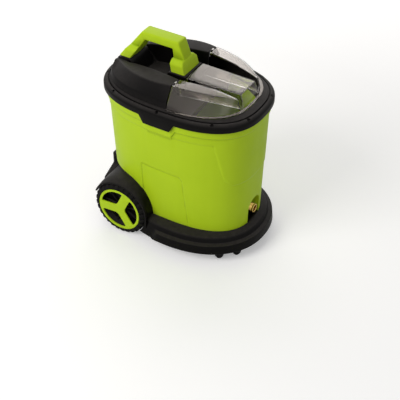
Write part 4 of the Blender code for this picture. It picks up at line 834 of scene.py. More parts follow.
def make_tank():
    lip_foot = RIM_Z - LIP_HEIGHT
    top = RIM_Z - SEAT_GAP
    mouth = tank_at(RIM_Z)
    low = lip_foot - LIP_PROUD
    wall = []
    for step in range(1, 26):
        z = lerp(TANK_FOOT_Z, low, step / 26)
        wall.append(ring(tank_at(z), z, 0.0, TAB_DROP * held((step - 17) / 9)))
    corners = [
        ring(tank_at(lip_foot), low, 0.0, TAB_DROP),
        ring(tank_at(lip_foot), lip_foot, -LIP_PROUD, TAB_DROP),
        ring(mouth, top, -LIP_PROUD, TAB_DROP),
        ring(mouth, top, TANK_WALL, TAB_DROP),
        ring(tank_at(TANK_FLOOR_Z), TANK_FLOOR_Z, TANK_WALL),
    ]
    shoulder = eased([wall[-1], *corners], 0.0016, False, 4)
    floor = TANK_FLOOR_Z - 0.004
    build = lofted([
        ring(tank_at(floor), floor, TANK_WALL), ring(tank_at(TANK_FOOT_Z), TANK_FOOT_Z, TANK_WALL),
        ring(tank_at(TANK_FOOT_Z), TANK_FOOT_Z), *wall[:-1], *shoulder])
    relief_lines(build)
    for vert in build.verts:
        x, y, z = vert.co
        centre, half_length, half_width, power = tank_at(z)
        size = abs((x - centre) / half_length) ** power + abs(y / half_width) ** power
        if abs(size - 1) < 0.02 and z < low + 0.0005:
            within = inside_by(SIDE_PANEL, x, z)
            edge = SIDE_PANEL_EDGE * held(1 - (within - LINE_WIDTH) / EDGE_FADE)
            depth = (PANEL_DEPTH * eased_step(inside_by(PANEL_LINE, x, z) / LINE_WIDTH)
                     + (SIDE_PANEL_DEPTH + edge) * eased_step(within / LINE_WIDTH))
            across = abs((x - centre) / half_length) ** power
            inward = Vector((-math.copysign(across ** 0.6, x - centre),
                             -math.copysign(abs(y / half_width) ** (power * 0.6), y), 0.0))
            vert.co += inward.normalized() * depth
    tank = take(build, "tank_body")
    covers = (prism("housing_cover", fender_arch(FENDER_HALF, FENDER_GAP + TANK_WALL, 24, 0.028,
                                                 -REACH), -REACH, REACH),
              recess_block("outlet_cover", TANK_WALL))
    for index, cover in enumerate(covers):
        heights = (TANK_FOOT_Z + 0.0006, RIM_Z - 0.1)
        limit = loft("cover_limit_%d" % index,
                     [ring(tank_at(z), z, TANK_WALL * 0.7) for z in heights])
        settle(combine(cover, limit, "INTERSECT"))
        join(tank, cover)
    cut(tank, prism("housing_space", fender_arch(FENDER_HALF, FENDER_GAP, 48, -0.1, -REACH),
                    -REACH, REACH),
        recess_block("outlet_space", 0.0),
        rod("outlet_hole", (RECESS_BACK_X - 0.03, 0, OUTLET_Z), (RECESS_BACK_X + 0.03, 0, OUTLET_Z),
            OUTLET_HOLE),
        rod("inlet_hole", (INLET_X, 0, TANK_FLOOR_Z - 0.02), (INLET_X, 0, TANK_FLOOR_Z + 0.02),
            INLET_HOLE))
    dress(settle(tank, 32), GREEN, stands_for=("tank_shell",))


make_tank()

# ---------------------------------------------------------------- rim and its screws

GROOVE_INSET = 0.010
GROOVE = 0.0025
RIM_SCREWS = 10


def screw_spots():
    inset = GROOVE_INSET - 0.0045
    return [on_outline(RIM, 2 * math.pi * (index + 0.5) / RIM_SCREWS, inset)
            for index in range(RIM_SCREWS)]


def make_rim():
    seat_top = RIM_Z + 0.014
    ledge = RIM_Z + 0.0205
    rows = [
        ring(RIM, RIM_Z, 0.0, TAB_DROP),
        ring(RIM, RIM_Z + 0.014, 0.0),
        ring(RIM, RIM_Z + 0.019, 0.004),
        ring(RIM, ledge, GROOVE_INSET),
        ring(RIM, ledge - GROOVE, GROOVE_INSET + 0.0005),
        ring(RIM, ledge - GROOVE, GROOVE_INSET + 0.0020),
        ring(RIM, RIM_Z + 0.0215, GROOVE_INSET + 0.0030),
        ring(THROAT, RIM_TOP_Z, 0.0),
        ring(THROAT, RIM_TOP_Z, 0.0025),
        ring(THROAT, 0.352, 0.0025),
        ring(THROAT, 0.352, 0.0),
        ring(THROAT, RIM_TOP_Z - 0.0035, 0.0),
        ring(RIM, seat_top, 0.0135),
        ring(RIM, RIM_Z, 0.0135, TAB_DROP),
    ]
    sizes = [0.0012, 0.003, 0.003, 0.0007, 0.0005, 0.0005, 0.0008, 0.0006, 0.0006, 0.0006, 0.0006,
             0.001, 0.001, 0.001]
    rim = loft("rim_ring", eased(rows, sizes, True, 4), endless=True)
    for index, (x, y) in enumerate(screw_spots()):
        cut(rim, rod("pocket_%d" % index, (x, y, RIM_Z + 0.0165), (x, y, RIM_Z + 0.04), 0.0040, 24))
    dress(settle(rim, 40), BLACK, stands_for=("rim_frame",))


def make_screw(name, spot, radius, across):
    """A domed screw head with a cross slot."""
    x, y, z = spot
    head = turned(name, [(0.0, 0.0), (radius, 0.0), (radius, radius * 0.35),
                         (radius * 0.6, radius * 0.68), (0.0, radius * 0.75)],
                  (x, y, z), (0, 0, 1), 24, radius * 0.15)
    for turn in (across, across + math.pi / 2):
        slot = box("slot", (-radius * 0.62, -radius * 0.11, radius * 0.35),
                   (radius * 0.62, radius * 0.11, radius))
        slot.rotation_euler = (0.0, 0.0, turn)
        slot.location = (x, y, z)
        cut(head, slot)
    return settle(head)


make_rim()
for number, (spot_x, spot_y) in enumerate(screw_spots()):
    dress(make_screw("rim_screw_%d" % number, (spot_x, spot_y, RIM_Z + 0.0167), 0.0032,
                     0.7 * number), SCREW)

# ---------------------------------------------------------------- cowl, lid and hinge

HINGE_X = 0.0108
HINGE_Z = 0.4485
BARREL_RADIUS = 0.0032
SPLIT_GAP = 0.0018
SPINE_Z = 0.4375
LID_WALL = 0.0025
COWL_WALL = 0.0030
THROAT_WALL = 0.0025
LID_FRONT_X = 0.151
RIDGE_Z = 0.450
RIDGE_REAR_Z = 0.431
RIDGE_FRONT_Z = 0.434
COWL_REAR_X = -0.178
PIN_RADIUS = 0.0014
PIN_HOLE = 0.0017
COWL_TIP_X = -0.166
KNUCKLES = (0.0700, 0.0780, 0.0860, 0.0940)
COWL_SPINE = ((-0.178, 0.431), (-0.166, 0.436), (-0.158, SPINE_Z), (-0.143, SPINE_Z),
              (-0.137, 0.430), (-0.124, 0.396), (-0.050, 0.396), (-0.040, SPINE_Z - 0.004),
              (-0.036, SPINE_Z), (0.1, SPINE_Z))
COWL_VALLEY = ((-0.178, 0.4295), (-0.150, 0.430), (-0.136, 0.418), (-0.118, 0.397),
               (-0.036, 0.400), (0.012, 0.405))
COWL_SPINE_HALF = ((-0.178, 0.0335), (-0.166, 0.0345), (-0.143, 0.0355), (-0.124, 0.037),
                   (0.1, 0.037))
SECTION_EASE = (0.0, 0.0022, 0.0022, 0.0022, 0.0030, 0.0030, 0.0030, 0.0)


def along(table, x):
    """Value at x along a short table of (x, value) steps."""
    for (low, first), (high, second) in zip(table, table[1:]):
        if x <= high:
            return lerp(first, second, max(0.0, (x - low) / (high - low)))
    return table[-1][1]


def soft_along(table, x, reach=0.0022):
    """The same with its corners eased."""
    return sum(along(table, x + reach * step / 2) for step in range(-2, 3)) / 5


def throat_half(x):
    centre, half_length, half_width, power = THROAT
    share = min(1.0, abs(x - centre) / half_length)
    return half_width * (1 - share ** power) ** (1 / power)


def throat_end(y, end):
    centre, half_length, half_width, power = THROAT
    share = min(1.0, abs(y) / half_width)
    return centre + end * half_length * (1 - share ** power) ** (1 / power)


def half_section(x, spine, ridge, crease, valley_z, foot_z, flare=0.003):
    """Half section of cowl or lid: spine, valley, ridge, outer slope, foot."""
    spine_half, spine_z = spine
    ridge_in, ridge_out, ridge_z = ridge
    ridge_in = max(ridge_in, spine_half + flare * 3.4)
    crease_y, crease_z = crease
    corners = (
        (x, 0.0, spine_z), (x, spine_half, spine_z), (x, spine_half + flare, valley_z),
        (x, ridge_in - flare * 1.3, valley_z), (x, ridge_in, ridge_z), (x, ridge_out, ridge_z),
        (x, crease_y, crease_z), (x, throat_half(x), foot_z))
    return eased_line(corners, SECTION_EASE)


def spread(point, distance):
    """A point of the throat's outline moved outward, square to the outline."""
    centre, half_length, half_width, power = THROAT
    offset = point.x - centre
    out = Vector((math.copysign(abs(offset / half_length) ** (power - 1) / half_length, offset),
                  math.copysign(abs(point.y / half_width) ** (power - 1) / half_width, point.y),
                  0.0))
    return point + out.normalized() * distance


def shell(name, rows, wall, flange=0.0):
    """Half skin over rows of points, mirrored about Y = 0 and thickened inward."""
    if flange:
        outer = [spread(point, flange) for point in rows[-1]]
        outer.append(outer[-1])
        for row in rows:
            row.append(spread(row[-1], flange))
        rows.append(outer)
    build = bmesh.new()
    grid = [[build.verts.new(point) for point in row] for row in rows]
    for lower, upper in zip(grid, grid[1:]):
        for i in range(len(lower) - 1):
            build.faces.new((lower[i], upper[i], upper[i + 1], lower[i + 1]))
    bmesh.ops.remove_doubles(build, verts=build.verts, dist=0.00005)
    mesh = bpy.data.meshes.new(name)
    build.to_mesh(mesh)
    build.free()
    made = place(name, mesh)
    mirror = made.modifiers.new("other_half", "MIRROR")
    mirror.use_axis = (False, True, False)
    mirror.merge_threshold = 0.0001
    thicken = made.modifiers.new("wall", "SOLIDIFY")
    thicken.thickness = wall
    thicken.offset = -1.0
    return made


def end_rows(last, end, foot_z, steps):
    """The end slope, carried from the last section out to the throat's outline."""
    rows = []
    for step in range(1, steps + 1):
        share = step / steps
        rows.append([Vector((lerp(point.x, throat_end(point.y, end), share), point.y,
                             lerp(point.z, foot_z, share))) for point in last])
        rows[-1][-1] = Vector((lerp(last[-1].x, throat_end(last[-1].y, end), share), last[-1].y,
                               foot_z))
    return rows


def make_cowl():
    boundary = HINGE_X - SPLIT_GAP
    foot_z = LID_Z - 0.002
    rows = []
    spots = [lerp(COWL_REAR_X, 0.0125, step / 76) for step in range(77)]
    for x in spots:
        s = held((x - COWL_TIP_X) / (boundary - COWL_TIP_X))
        ridge_in = lerp(0.040, 0.066, s)
        ridge_out = ridge_in + 0.031 * s + 0.09 * s * (1 - s) + 0.006 * (1 - s)
        ridge_z = RIDGE_REAR_Z + (RIDGE_Z - RIDGE_REAR_Z) * (1 - (1 - s) ** 2)
        foot = throat_half(x)
        rows.append(half_section(
            x, (soft_along(COWL_SPINE_HALF, x), soft_along(COWL_SPINE, x)),
            (ridge_in, ridge_out, ridge_z), (foot - lerp(0.007, 0.004, s), lerp(0.417, 0.419, s)),
            soft_along(COWL_VALLEY, x), foot_z, lerp(0.001, 0.003, min(1.0, s * 6))))
    rows = [*reversed(end_rows(rows[0], -1, foot_z, 3)), *rows]
    cowl = shell("rear_shell", rows, COWL_WALL)
    below = box("cowl_below", (-REACH, -REACH, LID_Z - 0.1), (REACH, REACH, LID_Z))
    inside = THROAT_WALL + COWL_WALL + 2 * FIT
    cut(below, loft("cowl_inside", [ring(THROAT, z, inside) for z in (LID_Z - 0.2, LID_Z + 0.1)]))
    cut(cowl, settle(below), box("cowl_ahead", (boundary, -REACH, 0.3), (boundary + 0.1, REACH, 0.6)))
    add_knuckles(cowl, ((0, 1), (2, 3)), ((1, 2),))
    dress(settle(cowl, 38), BLACK, stands_for=("rear_cowl",))


def make_lid():
    boundary = HINGE_X + SPLIT_GAP
    foot_z = LID_Z + LID_WALL
    rows = []
    for step in range(47):
        x = lerp(boundary - 0.003, LID_FRONT_X, step / 46)
        t = held((x - HINGE_X) / (LID_FRONT_X - 0.007))
        ridge_in = lerp(0.066, 0.046, t)
        foot = throat_half(x)
        ridge_out = min(ridge_in + 0.031 * (1 - t ** 3) + 0.001, foot - 0.012)
        rows.append(half_section(
            x, (lerp(0.037, 0.033, t), SPINE_Z),
            (ridge_in, ridge_out, lerp(RIDGE_Z, RIDGE_FRONT_Z, t ** 3)),
            (foot - 0.003, lerp(0.416, 0.410, t)), lerp(0.405, 0.409, t), foot_z))
    last = rows[-1]
    upper = [Vector((lerp(point.x, throat_end(point.y, 1), 0.45), point.y,
                     lerp(point.z, foot_z, 0.30))) for point in last]
    upper[-1] = Vector(last[-1])
    foot_row = [Vector((throat_end(point.y, 1), point.y, foot_z)) for point in last]
    rows += eased([last, upper, foot_row], 0.004, False, 5)[1:]
    lid = shell("clear_cover", rows, LID_WALL, 0.006)
    cut(lid, box("lid_behind", (boundary - 0.1, -REACH, 0.3), (boundary, REACH, 0.6)),
        box("lid_below", (-REACH, -REACH, LID_Z - 0.1), (REACH, REACH, LID_Z)))
    add_knuckles(lid, ((1, 2),), ((0, 1), (2, 3)))
    dress(settle(lid, 38), CLEAR, "lid", ("clear_lid",))


def add_knuckles(target, own, others):
    """Hinge barrels of one shell, and room for those of the other, at both sides."""
    for side in (-1, 1):
        def barrel(low, high, radius):
            return rod("barrel", (HINGE_X, side * low, HINGE_Z), (HINGE_X, side * high, HINGE_Z),
                       radius, 28)
        for first, last in others:
            cut(target, barrel(KNUCKLES[first] - FIT, KNUCKLES[last] + FIT, BARREL_RADIUS + 0.0006))
        for first, last in own:
            join(target, barrel(KNUCKLES[first] + FIT, KNUCKLES[last] - FIT, BARREL_RADIUS))
        cut(target, barrel(KNUCKLES[0] - 0.012, KNUCKLES[-1] + 0.006, PIN_HOLE))


def make_hinge_pins():
    for side, word in ((-1, "right"), (1, "left")):
        pin = turned("pin_" + word, [(0.0, KNUCKLES[0]), (PIN_RADIUS, KNUCKLES[0]),
                                     (PIN_RADIUS, KNUCKLES[-1]), (0.0, KNUCKLES[-1])],
                     (HINGE_X, 0, HINGE_Z), (0, side, 0), 20, 0.0003)
        dress(pin, STEEL, stands_for=("hinge_pin_" + word,))


make_cowl()
make_lid()
make_hinge_pins()

# ---------------------------------------------------------------- carrying handle

GRIP_HALF = 0.0175
HANDLE_FOOT_HALF = 0.0335
HANDLE_Z = 0.508
GRIP_DEPTH = 0.021
BOSS_HEIGHT = 0.029
REAR_FOOT = (-0.174, -0.143)
FRONT_FOOT = (-0.033, 0.004)
GRIP = (-0.119, -0.021)
GRIP_UNDER = (-0.112, -0.038)
FINGER_RIBS = 11


def make_handle():
    foot = SPINE_Z + FIT
    sunk = foot - 0.008
    under = HANDLE_Z - GRIP_DEPTH
    outline = [(REAR_FOOT[0], sunk), (REAR_FOOT[0], foot), (GRIP[0], HANDLE_Z), (GRIP[1], HANDLE_Z),
               (FRONT_FOOT[1], foot), (FRONT_FOOT[1], sunk), (FRONT_FOOT[0], sunk),
               (FRONT_FOOT[0], foot), (GRIP_UNDER[1], under), (GRIP_UNDER[0], under),
               (REAR_FOOT[1], foot), (REAR_FOOT[1], sunk)]
    handle = prism("top_handle", outline, -GRIP_HALF, GRIP_HALF, "Y", 0.0042, 4)
    for word, (low, high), lean in (("rear", REAR_FOOT, 0.0205), ("front", FRONT_FOOT, -0.0065)):
        rings = []
        for rise, half, inset in ((sunk - foot, HANDLE_FOOT_HALF, 0.0),
                                  (BOSS_HEIGHT - 0.009, HANDLE_FOOT_HALF - 0.001, 0.001),
                                  (BOSS_HEIGHT, GRIP_HALF + 0.006, 0.003)):
            corners = ((low + inset, -half), (high - inset, -half), (high - inset, half),
                       (low + inset, half))
            rings.append([Vector((x + lean * rise / BOSS_HEIGHT, y, foot + rise))
                          for x, y in corners])
        build = lofted(rings)
        bmesh.ops.recalc_face_normals(build, faces=build.faces)
        sharp = [edge for edge in build.edges if edge.calc_face_angle(0.0) > math.radians(20)]
        bmesh.ops.bevel(build, geom=sharp, offset=0.0028, segments=3, affect="EDGES", profile=0.5)
        join(handle, take(build, word + "_boss"))
    cut(handle, box("foot_level", (-REACH, -REACH, foot - 0.05), (REACH, REACH, foot)))
    start, end = GRIP_UNDER[0] + 0.005, GRIP_UNDER[1] - 0.004
    pitch = (end - start) / FINGER_RIBS
    for index in range(FINGER_RIBS):
        x = start + pitch * index
        cut(handle, box("grip_groove_%d" % index, (x, 0.004 - GRIP_HALF, under - 0.01),
                        (x + pitch * 0.45, GRIP_HALF - 0.004, under + 0.0015)))
    dress(settle(handle, 30), GREEN, stands_for=("carry_handle",))


make_handle()

# ---------------------------------------------------------------- base tray and feet

TRAY_FLOOR_Z = 0.036
LEDGE_Z = 0.071
SKIRT_WALL = 0.0035
TRAY_WALL = 0.004
AXLE_HOLE = 0.0053
# Outside of the skirt as (height, inset behind the tier's start, inset in front of it).
SKIRT_STEPS = ((0.0258, 0.0052, 0.0014), (0.0274, 0.0042, 0.0000), (0.0506, 0.0120, 0.0020),
               (0.0524, 0.0126, 0.0122), (0.0622, 0.0157, 0.0157), (0.0648, 0.0180, 0.0180))
TIER_START = ((-0.0255, 0.0265), (-0.0150, 0.0525))
TIER_RAMP = 0.0090
WELL_INNER_Y = 0.111
WELL_RADIUS = 0.0734
FENDER_OUTER_Y = 0.147
FENDER_SHOULDER_Y = 0.128
HOUSING_REAR_X = -0.198
HOUSING_OUTLINE = ((-0.098, 0.028), (-0.098, 0.108), (-0.056, 0.127), (-0.048, 0.152),
                   (0.048, 0.152), (0.056, 0.127), (0.098, 0.108), (0.098, 0.028))
FOOT_INSET = 0.0215
FOOT_RADIUS = 0.0145
FOOT_TURNS = {"outer": math.radians(44.5), "inner": math.radians(62)}
PACK_HALF = 0.037
PACK_Z = (0.0818, 0.1412)
PACK_REAR_X = -0.212
PACK_LENGTH = 0.104
SWITCH_Y = 0.068
SWITCH_Z = 0.088


def foot_spots():
    """Places of the feet along the skirt's front, for the near side."""
    centre, half_length, half_width, power = SKIRT
    spots = []
    for where, turn in FOOT_TURNS.items():
        x = centre + (half_length - FOOT_INSET) * math.sin(turn) ** (2 / power)
        y = (half_width - FOOT_INSET) * math.cos(turn) ** (2 / power)
        spots.append((where, x, y))
    return spots


def skirt_ring(z, behind, ahead):
    """Skirt's outline, moved in by one inset behind the lower tier's start and another ahead."""
    (low_x, low_z), (high_x, high_z) = TIER_START
    start = lerp(low_x, high_x, (z - low_z) / (high_z - low_z))
    return [first.lerp(second, held((first.x - start) / TIER_RAMP))
            for first, second in zip(ring(SKIRT, z, behind), ring(SKIRT, z, ahead))]


def base_rows():
    """Rows of the base's section, from under its seat round the skirt to the tank's foot."""
    wall = SKIRT_WALL
    clear = PANEL_DEPTH - 2 * FIT
    seat = TANK_FOOT_Z - FIT
    seat_inset = TANK_WALL + 0.002
    inner = [skirt_ring(z - wall * rise, behind + wall, ahead + wall)
             for (z, behind, ahead), rise in zip(SKIRT_STEPS, (0, 0, 0.5, 1.0, 1.0, 1.0))]
    rows = [
        ring(TANK_FOOT, TRAY_FLOOR_Z, seat_inset - wall),
        ring(TANK_FOOT, SKIRT_STEPS[-1][0] - wall, seat_inset - wall),
        *reversed(inner[2:5]),
        inner[0],
        *[skirt_ring(*step) for step in SKIRT_STEPS],
        ring(TANK_FOOT, LEDGE_Z, clear),
        ring(TANK_FOOT, seat, clear),
        ring(TANK_FOOT, seat, seat_inset),
        ring(TANK_FOOT, TRAY_FLOOR_Z + 0.004, seat_inset),
    ]
    sizes = [0, .001, .001, .001, .001, .0005, .0005, .0005, .0009, .0012, .0009, .0009, .001,
             .0006, .0006, 0]
    return eased(rows, sizes, False, 4)


def make_base():
    base = loft("base_shell", base_rows())
    rings = []
    for side, y, half in ((-1, FENDER_OUTER_Y, FENDER_LIP), (-1, FENDER_OUTER_Y - 0.0015, None),
                          (-1, FENDER_SHOULDER_Y, FENDER_HALF), (1, FENDER_SHOULDER_Y, FENDER_HALF),
                          (1, FENDER_OUTER_Y - 0.0015, None), (1, FENDER_OUTER_Y, FENDER_LIP)):
        size = half or tuple(lerp(a, b, 0.08) + 0.0008 for a, b in zip(FENDER_LIP, FENDER_HALF))
        rings.append([Vector((x, side * y, z)) for x, z in fender_arch(size)])
    fender = loft("fender_solid", eased(rings, 0.006, False, 5, keep=(1, 4)))
    housing = prism("housing_solid", HOUSING_OUTLINE, HOUSING_REAR_X, WHEEL_CENTRE.x, "X", 0.005, 4)
    inner = [(y * (0.094 / 0.098), z - TRAY_WALL if z > 0.1 else TRAY_FLOOR_Z + TRAY_WALL)
             for y, z in HOUSING_OUTLINE]
    arch = fender_arch(FENDER_HALF, -TRAY_WALL, 40, TRAY_FLOOR_Z + TRAY_WALL)
    cavity_front = prism("cavity_front", arch, TRAY_WALL - WELL_INNER_Y, WELL_INNER_Y - TRAY_WALL)
    cavity_rear = prism("cavity_rear", inner, HOUSING_REAR_X + TRAY_WALL, WHEEL_CENTRE.x, "X")
    settle(cut(fender, box("behind", (-REACH, -0.098, -0.1), (HOUSING_REAR_X, 0.098, 0.3))))
    settle(cut(cavity_front, box("behind", (-REACH, -REACH, -0.1),
                                 (HOUSING_REAR_X + TRAY_WALL, REACH, 0.3))))
    join(base, fender, housing)
    for _, x, y in foot_spots():
        for side in (-1, 1):
            join(base, rod("boss", (x, side * y, TRAY_FLOOR_Z), (x, side * y, SKIRT_STEPS[-2][0]),
                           FOOT_RADIUS, 32, 0.0058))
    cut(base, cavity_front, cavity_rear)
    for side in (-1, 1):
        cut(base, rod("well", (WHEEL_CENTRE.x, side * WELL_INNER_Y, WHEEL_CENTRE.z),
                      (WHEEL_CENTRE.x, side * 0.25, WHEEL_CENTRE.z), WELL_RADIUS, 96))
        near, far = sorted((side * WELL_INNER_Y, side * 0.25))
        cut(base, box("behind_wheel", (-REACH, near, 0.0), (WHEEL_CENTRE.x, far, FENDER_END_Z)))
    cut(base, rod("axle_hole", (WHEEL_CENTRE.x, -REACH, WHEEL_CENTRE.z),
                  (WHEEL_CENTRE.x, REACH, WHEEL_CENTRE.z), AXLE_HOLE),
        box("bay_mouth", (HOUSING_REAR_X - 0.02, -0.0409, PACK_Z[0] - 0.0039),
            (HOUSING_REAR_X + 0.02, 0.0409, PACK_Z[1] + 0.0039)),
        rod("lead_hole", (WHEEL_CENTRE.x + 0.06, 0.045, 0.060), (WHEEL_CENTRE.x + 0.10, 0.045, 0.060),
            0.005),
        box("switch_hole", (HOUSING_REAR_X - 0.02, SWITCH_Y - 0.0113, SWITCH_Z - 0.0153),
            (HOUSING_REAR_X + 0.02, SWITCH_Y + 0.0113, SWITCH_Z + 0.0153)))
    dress(settle(base, 34), BLACK, stands_for=("base_tray",))


def make_feet():
    top = TRAY_FLOOR_Z - FIT
    for where, x, y in foot_spots():
        for side, word in ((-1, "right"), (1, "left")):
            foot = turned("rubber_foot_%s_%s" % (where, word), [
                (0.0, top), (FOOT_RADIUS, top), (FOOT_RADIUS, 0.022), (FOOT_RADIUS * 0.72, 0.006),
                (FOOT_RADIUS * 0.45, 0.0), (0.0, 0.0)], (x, side * y, 0), (0, 0, 1), 40, 0.0012)
            dress(foot, RUBBER, stands_for=("front_foot_%s_%s" % (where, word),))


make_base()
make_feet()

# ---------------------------------------------------------------- wheels

WHEEL_RADIUS = 0.072
WHEEL_OUTER_Y = 0.151
TYRE_WIDTH = 0.036
TYRE_BORE = 0.0592
LUGS = 28
LUG_DEPTH = 0.0034
COVER_RADIUS = 0.0585
COVER_RING = 0.0065
COVER_THICK = 0.0035
SPOKE_ANGLE = math.radians(64)
SPOKE_HALF = 0.0065
SPOKE_FLARE = 0.22
OPENING_CORNER = 0.0045


def tyre_section(angle, rise):
    """Section of a tyre at one angle; rise is 1 on a lug and 0 in the groove between lugs."""
    outer = WHEEL_RADIUS - LUG_DEPTH * (1 - rise)
    half = TYRE_WIDTH / 2
    side = half - 0.0007 * (1 - rise)
    shoulder = outer - 0.007
    line = eased_line([
        (TYRE_BORE, 0, -half + 0.001), (TYRE_BORE, 0, half - 0.001), (TYRE_BORE + 0.0015, 0, half),
        (TYRE_BORE + 0.0035, 0, half), (TYRE_BORE + 0.0040, 0, half - 0.0006),
        (shoulder, 0, side), (outer, 0, half - 0.006), (outer, 0, 0.0035),
        (outer - 0.0016 * rise, 0, 0.0022), (outer - 0.0016 * rise, 0, -0.0022), (outer, 0, -0.0035),
        (outer, 0, 0.006 - half), (shoulder, 0, -side), (TYRE_BORE + 0.0040, 0, 0.0006 - half),
        (TYRE_BORE + 0.0035, 0, -half), (TYRE_BORE + 0.0015, 0, -half)], 0.0007, True, 3)
    return [Vector((point.x * math.cos(angle), point.z, point.x * math.sin(angle)))
            for point in line]


def curve_point(start, bend, end, t):
    return start * (1 - t) ** 2 + bend * 2 * t * (1 - t) + end * t ** 2


def round_corner(hub, corner, radius, angle, turn, steps=8):
    start = corner + (hub - corner).normalized() * OPENING_CORNER
    onward = angle + turn * OPENING_CORNER / radius * 1.3
    end = Vector((radius * math.cos(onward), radius * math.sin(onward)))
    return [curve_point(start, corner, end, step / steps) for step in range(steps)]


def opening_outline(before, after, rim_inner):
    """One opening between two spokes, with rounded corners, as (x, z)."""
    middle = (before + after) / 2
    half_turn = math.asin(SPOKE_HALF / rim_inner) + SPOKE_FLARE * 0.5
    start, end = before + half_turn, after - half_turn
    corners = [Vector((rim_inner * math.cos(a), rim_inner * math.sin(a))) for a in (start, end)]
    hub = Vector((math.cos(middle), math.sin(middle))) * SPOKE_HALF * 2.1
    points = round_corner(hub, corners[0], rim_inner, start, 1)
    first = start + OPENING_CORNER / rim_inner * 1.3
    last = end - OPENING_CORNER / rim_inner * 1.3
    points += [Vector((rim_inner * math.cos(lerp(first, last, i / 20)),
                       rim_inner * math.sin(lerp(first, last, i / 20)))) for i in range(21)]
    points += list(reversed(round_corner(hub, corners[1], rim_inner, end, -1)))
    reach = OPENING_CORNER * 1.8
    turn_in = hub + (corners[1] - hub).normalized() * reach
    turn_out = hub + (corners[0] - hub).normalized() * reach
    points += [curve_point(turn_in, hub, turn_out, step / 8) for step in range(9)]
    return [(point.x, point.y) for point in points]


def spoke_cover(name, centre, side):
    """Ring with three flared spokes, its edges rounded over, and a slight dish to the spokes."""
    rim_inner = COVER_RADIUS - COVER_RING
    rounding = 0.0007
    curve = bpy.data.curves.new(name, "CURVE")
    curve.dimensions = "2D"
    curve.fill_mode = "BOTH"
    curve.extrude = COVER_THICK / 2 - rounding
    curve.bevel_depth = rounding
    curve.bevel_resolution = 2
    curve.offset = -rounding
    outlines = [[(COVER_RADIUS * math.cos(2 * math.pi * i / 120),
                  COVER_RADIUS * math.sin(2 * math.pi * i / 120)) for i in range(120)]]
    for index in range(3):
        before = SPOKE_ANGLE + 2 * math.pi * index / 3
        outlines.append(opening_outline(before, before + 2 * math.pi / 3, rim_inner))
    for outline in outlines:
        spline = curve.splines.new("POLY")
        spline.points.add(len(outline) - 1)
        for point, (x, z) in zip(spline.points, outline):
            point.co = (x, z, 0.0, 1.0)
        spline.use_cyclic_u = True
    guide = link(bpy.data.objects.new(name + "_guide", curve))
    bpy.context.view_layer.update()
    mesh = bpy.data.meshes.new_from_object(
        guide.evaluated_get(bpy.context.evaluated_depsgraph_get()))
    bpy.data.objects.remove(guide)
    build = bmesh.new()
    build.from_mesh(mesh)
    bmesh.ops.triangulate(build, faces=build.faces)
    bmesh.ops.remove_doubles(build, verts=build.verts, dist=0.00001)
    for vert in build.verts:
        out = math.hypot(vert.co.x, vert.co.y)
        dish = 0.0010 * eased_step((rim_inner - 0.004 - out) / 0.004)
        x, z, depth = vert.co.x, vert.co.y, vert.co.z
        vert.co = Vector((x, side * (depth - dish), z)) + centre
    return take(build, name, 35)


def make_wheel(side, word):
    body = "wheel_" + word
    middle = side * (WHEEL_OUTER_Y - TYRE_WIDTH / 2)
    centre = Vector((WHEEL_CENTRE.x, middle, WHEEL_CENTRE.z))
    rings = []
    steps = 10
    for index in range(LUGS * steps):
        phase = (index % steps) / steps
        rise = eased_step((0.28 - abs(phase - 0.3)) / 0.07)
        rings.append([centre + point for point in tyre_section(
            2 * math.pi * index / (LUGS * steps), rise)])
    tyre = loft("tread_" + word, rings, endless=True, smooth=40)
    dress(tyre, TYRE, body, ("tyre_" + word,))
    half = TYRE_WIDTH / 2
    seat = TYRE_BORE - FIT
    cover_back = half - COVER_THICK - 0.001
    core = turned("hub_" + word, [
        (seat, cover_back - FIT), (seat, 0.004 - half), (seat - 0.005, 0.004 - half),
        (seat - 0.008, -0.004), (0.018, -0.006), (0.014, 0.0015 - half), (AXLE_HOLE, 0.0015 - half),
        (AXLE_HOLE, 0.006), (0.013, 0.006), (0.013, -0.001), (seat - 0.010, 0.000),
        (seat - 0.004, cover_back - FIT)], centre, (0, side, 0), 96, 0.0010)
    dress(core, BLACK, body, ("wheel_core_" + word,))
    for index in range(9):
        angle = 2 * math.pi * index / 9 + 0.2
        rib = box("web", (0.0125, -0.0012, -0.0012), (seat - 0.0035, 0.0012, 0.0050), 0.0004, 2)
        turn = Matrix.Rotation(-angle, 4, "Y") @ Matrix.Rotation(-side * math.pi / 2, 4, "X")
        rib.data.transform(Matrix.Translation(centre) @ turn)
        rib.name = "hub_web_%s_%d" % (word, index)
        dress(rib, BLACK, body)
    cover = spoke_cover("trim_ring_" + word,
                        centre + Vector((0, side * (cover_back + COVER_THICK / 2), 0)), side)
    dress(cover, GREEN, body, ("spoke_cover_" + word,))


def make_axle():
    half = WHEEL_OUTER_Y - 0.010
    centre = WHEEL_CENTRE
    axle = turned("axle_bar", [(0.0, -half), (0.005, -half), (0.005, half), (0.0, half)], centre,
                  (0, 1, 0), 40, 0.0008)
    dress(axle, STEEL, stands_for=("axle",))
    seat = WHEEL_OUTER_Y - TYRE_WIDTH / 2 + 0.006
    for side, word in ((-1, "right"), (1, "left")):
        nut = turned("push_cap_" + word, [
            (AXLE_HOLE, seat + 0.0035), (0.0085, seat + 0.0022), (0.0085, seat + FIT),
            (AXLE_HOLE, seat + FIT)], centre, (0, side, 0), 40, 0.0004)
        dress(nut, STEEL, stands_for=("axle_push_nut_" + word,))


make_wheel(-1, "right")
make_wheel(1, "left")
make_axle()

# ---------------------------------------------------------------- brass outlet

OUTLET_END_X = 0.181
OUTLET_TUBE = 0.0115
OUTLET_BORE = 0.0078
OUTLET_HEX = 0.0160
THREAD_PITCH = 0.0018


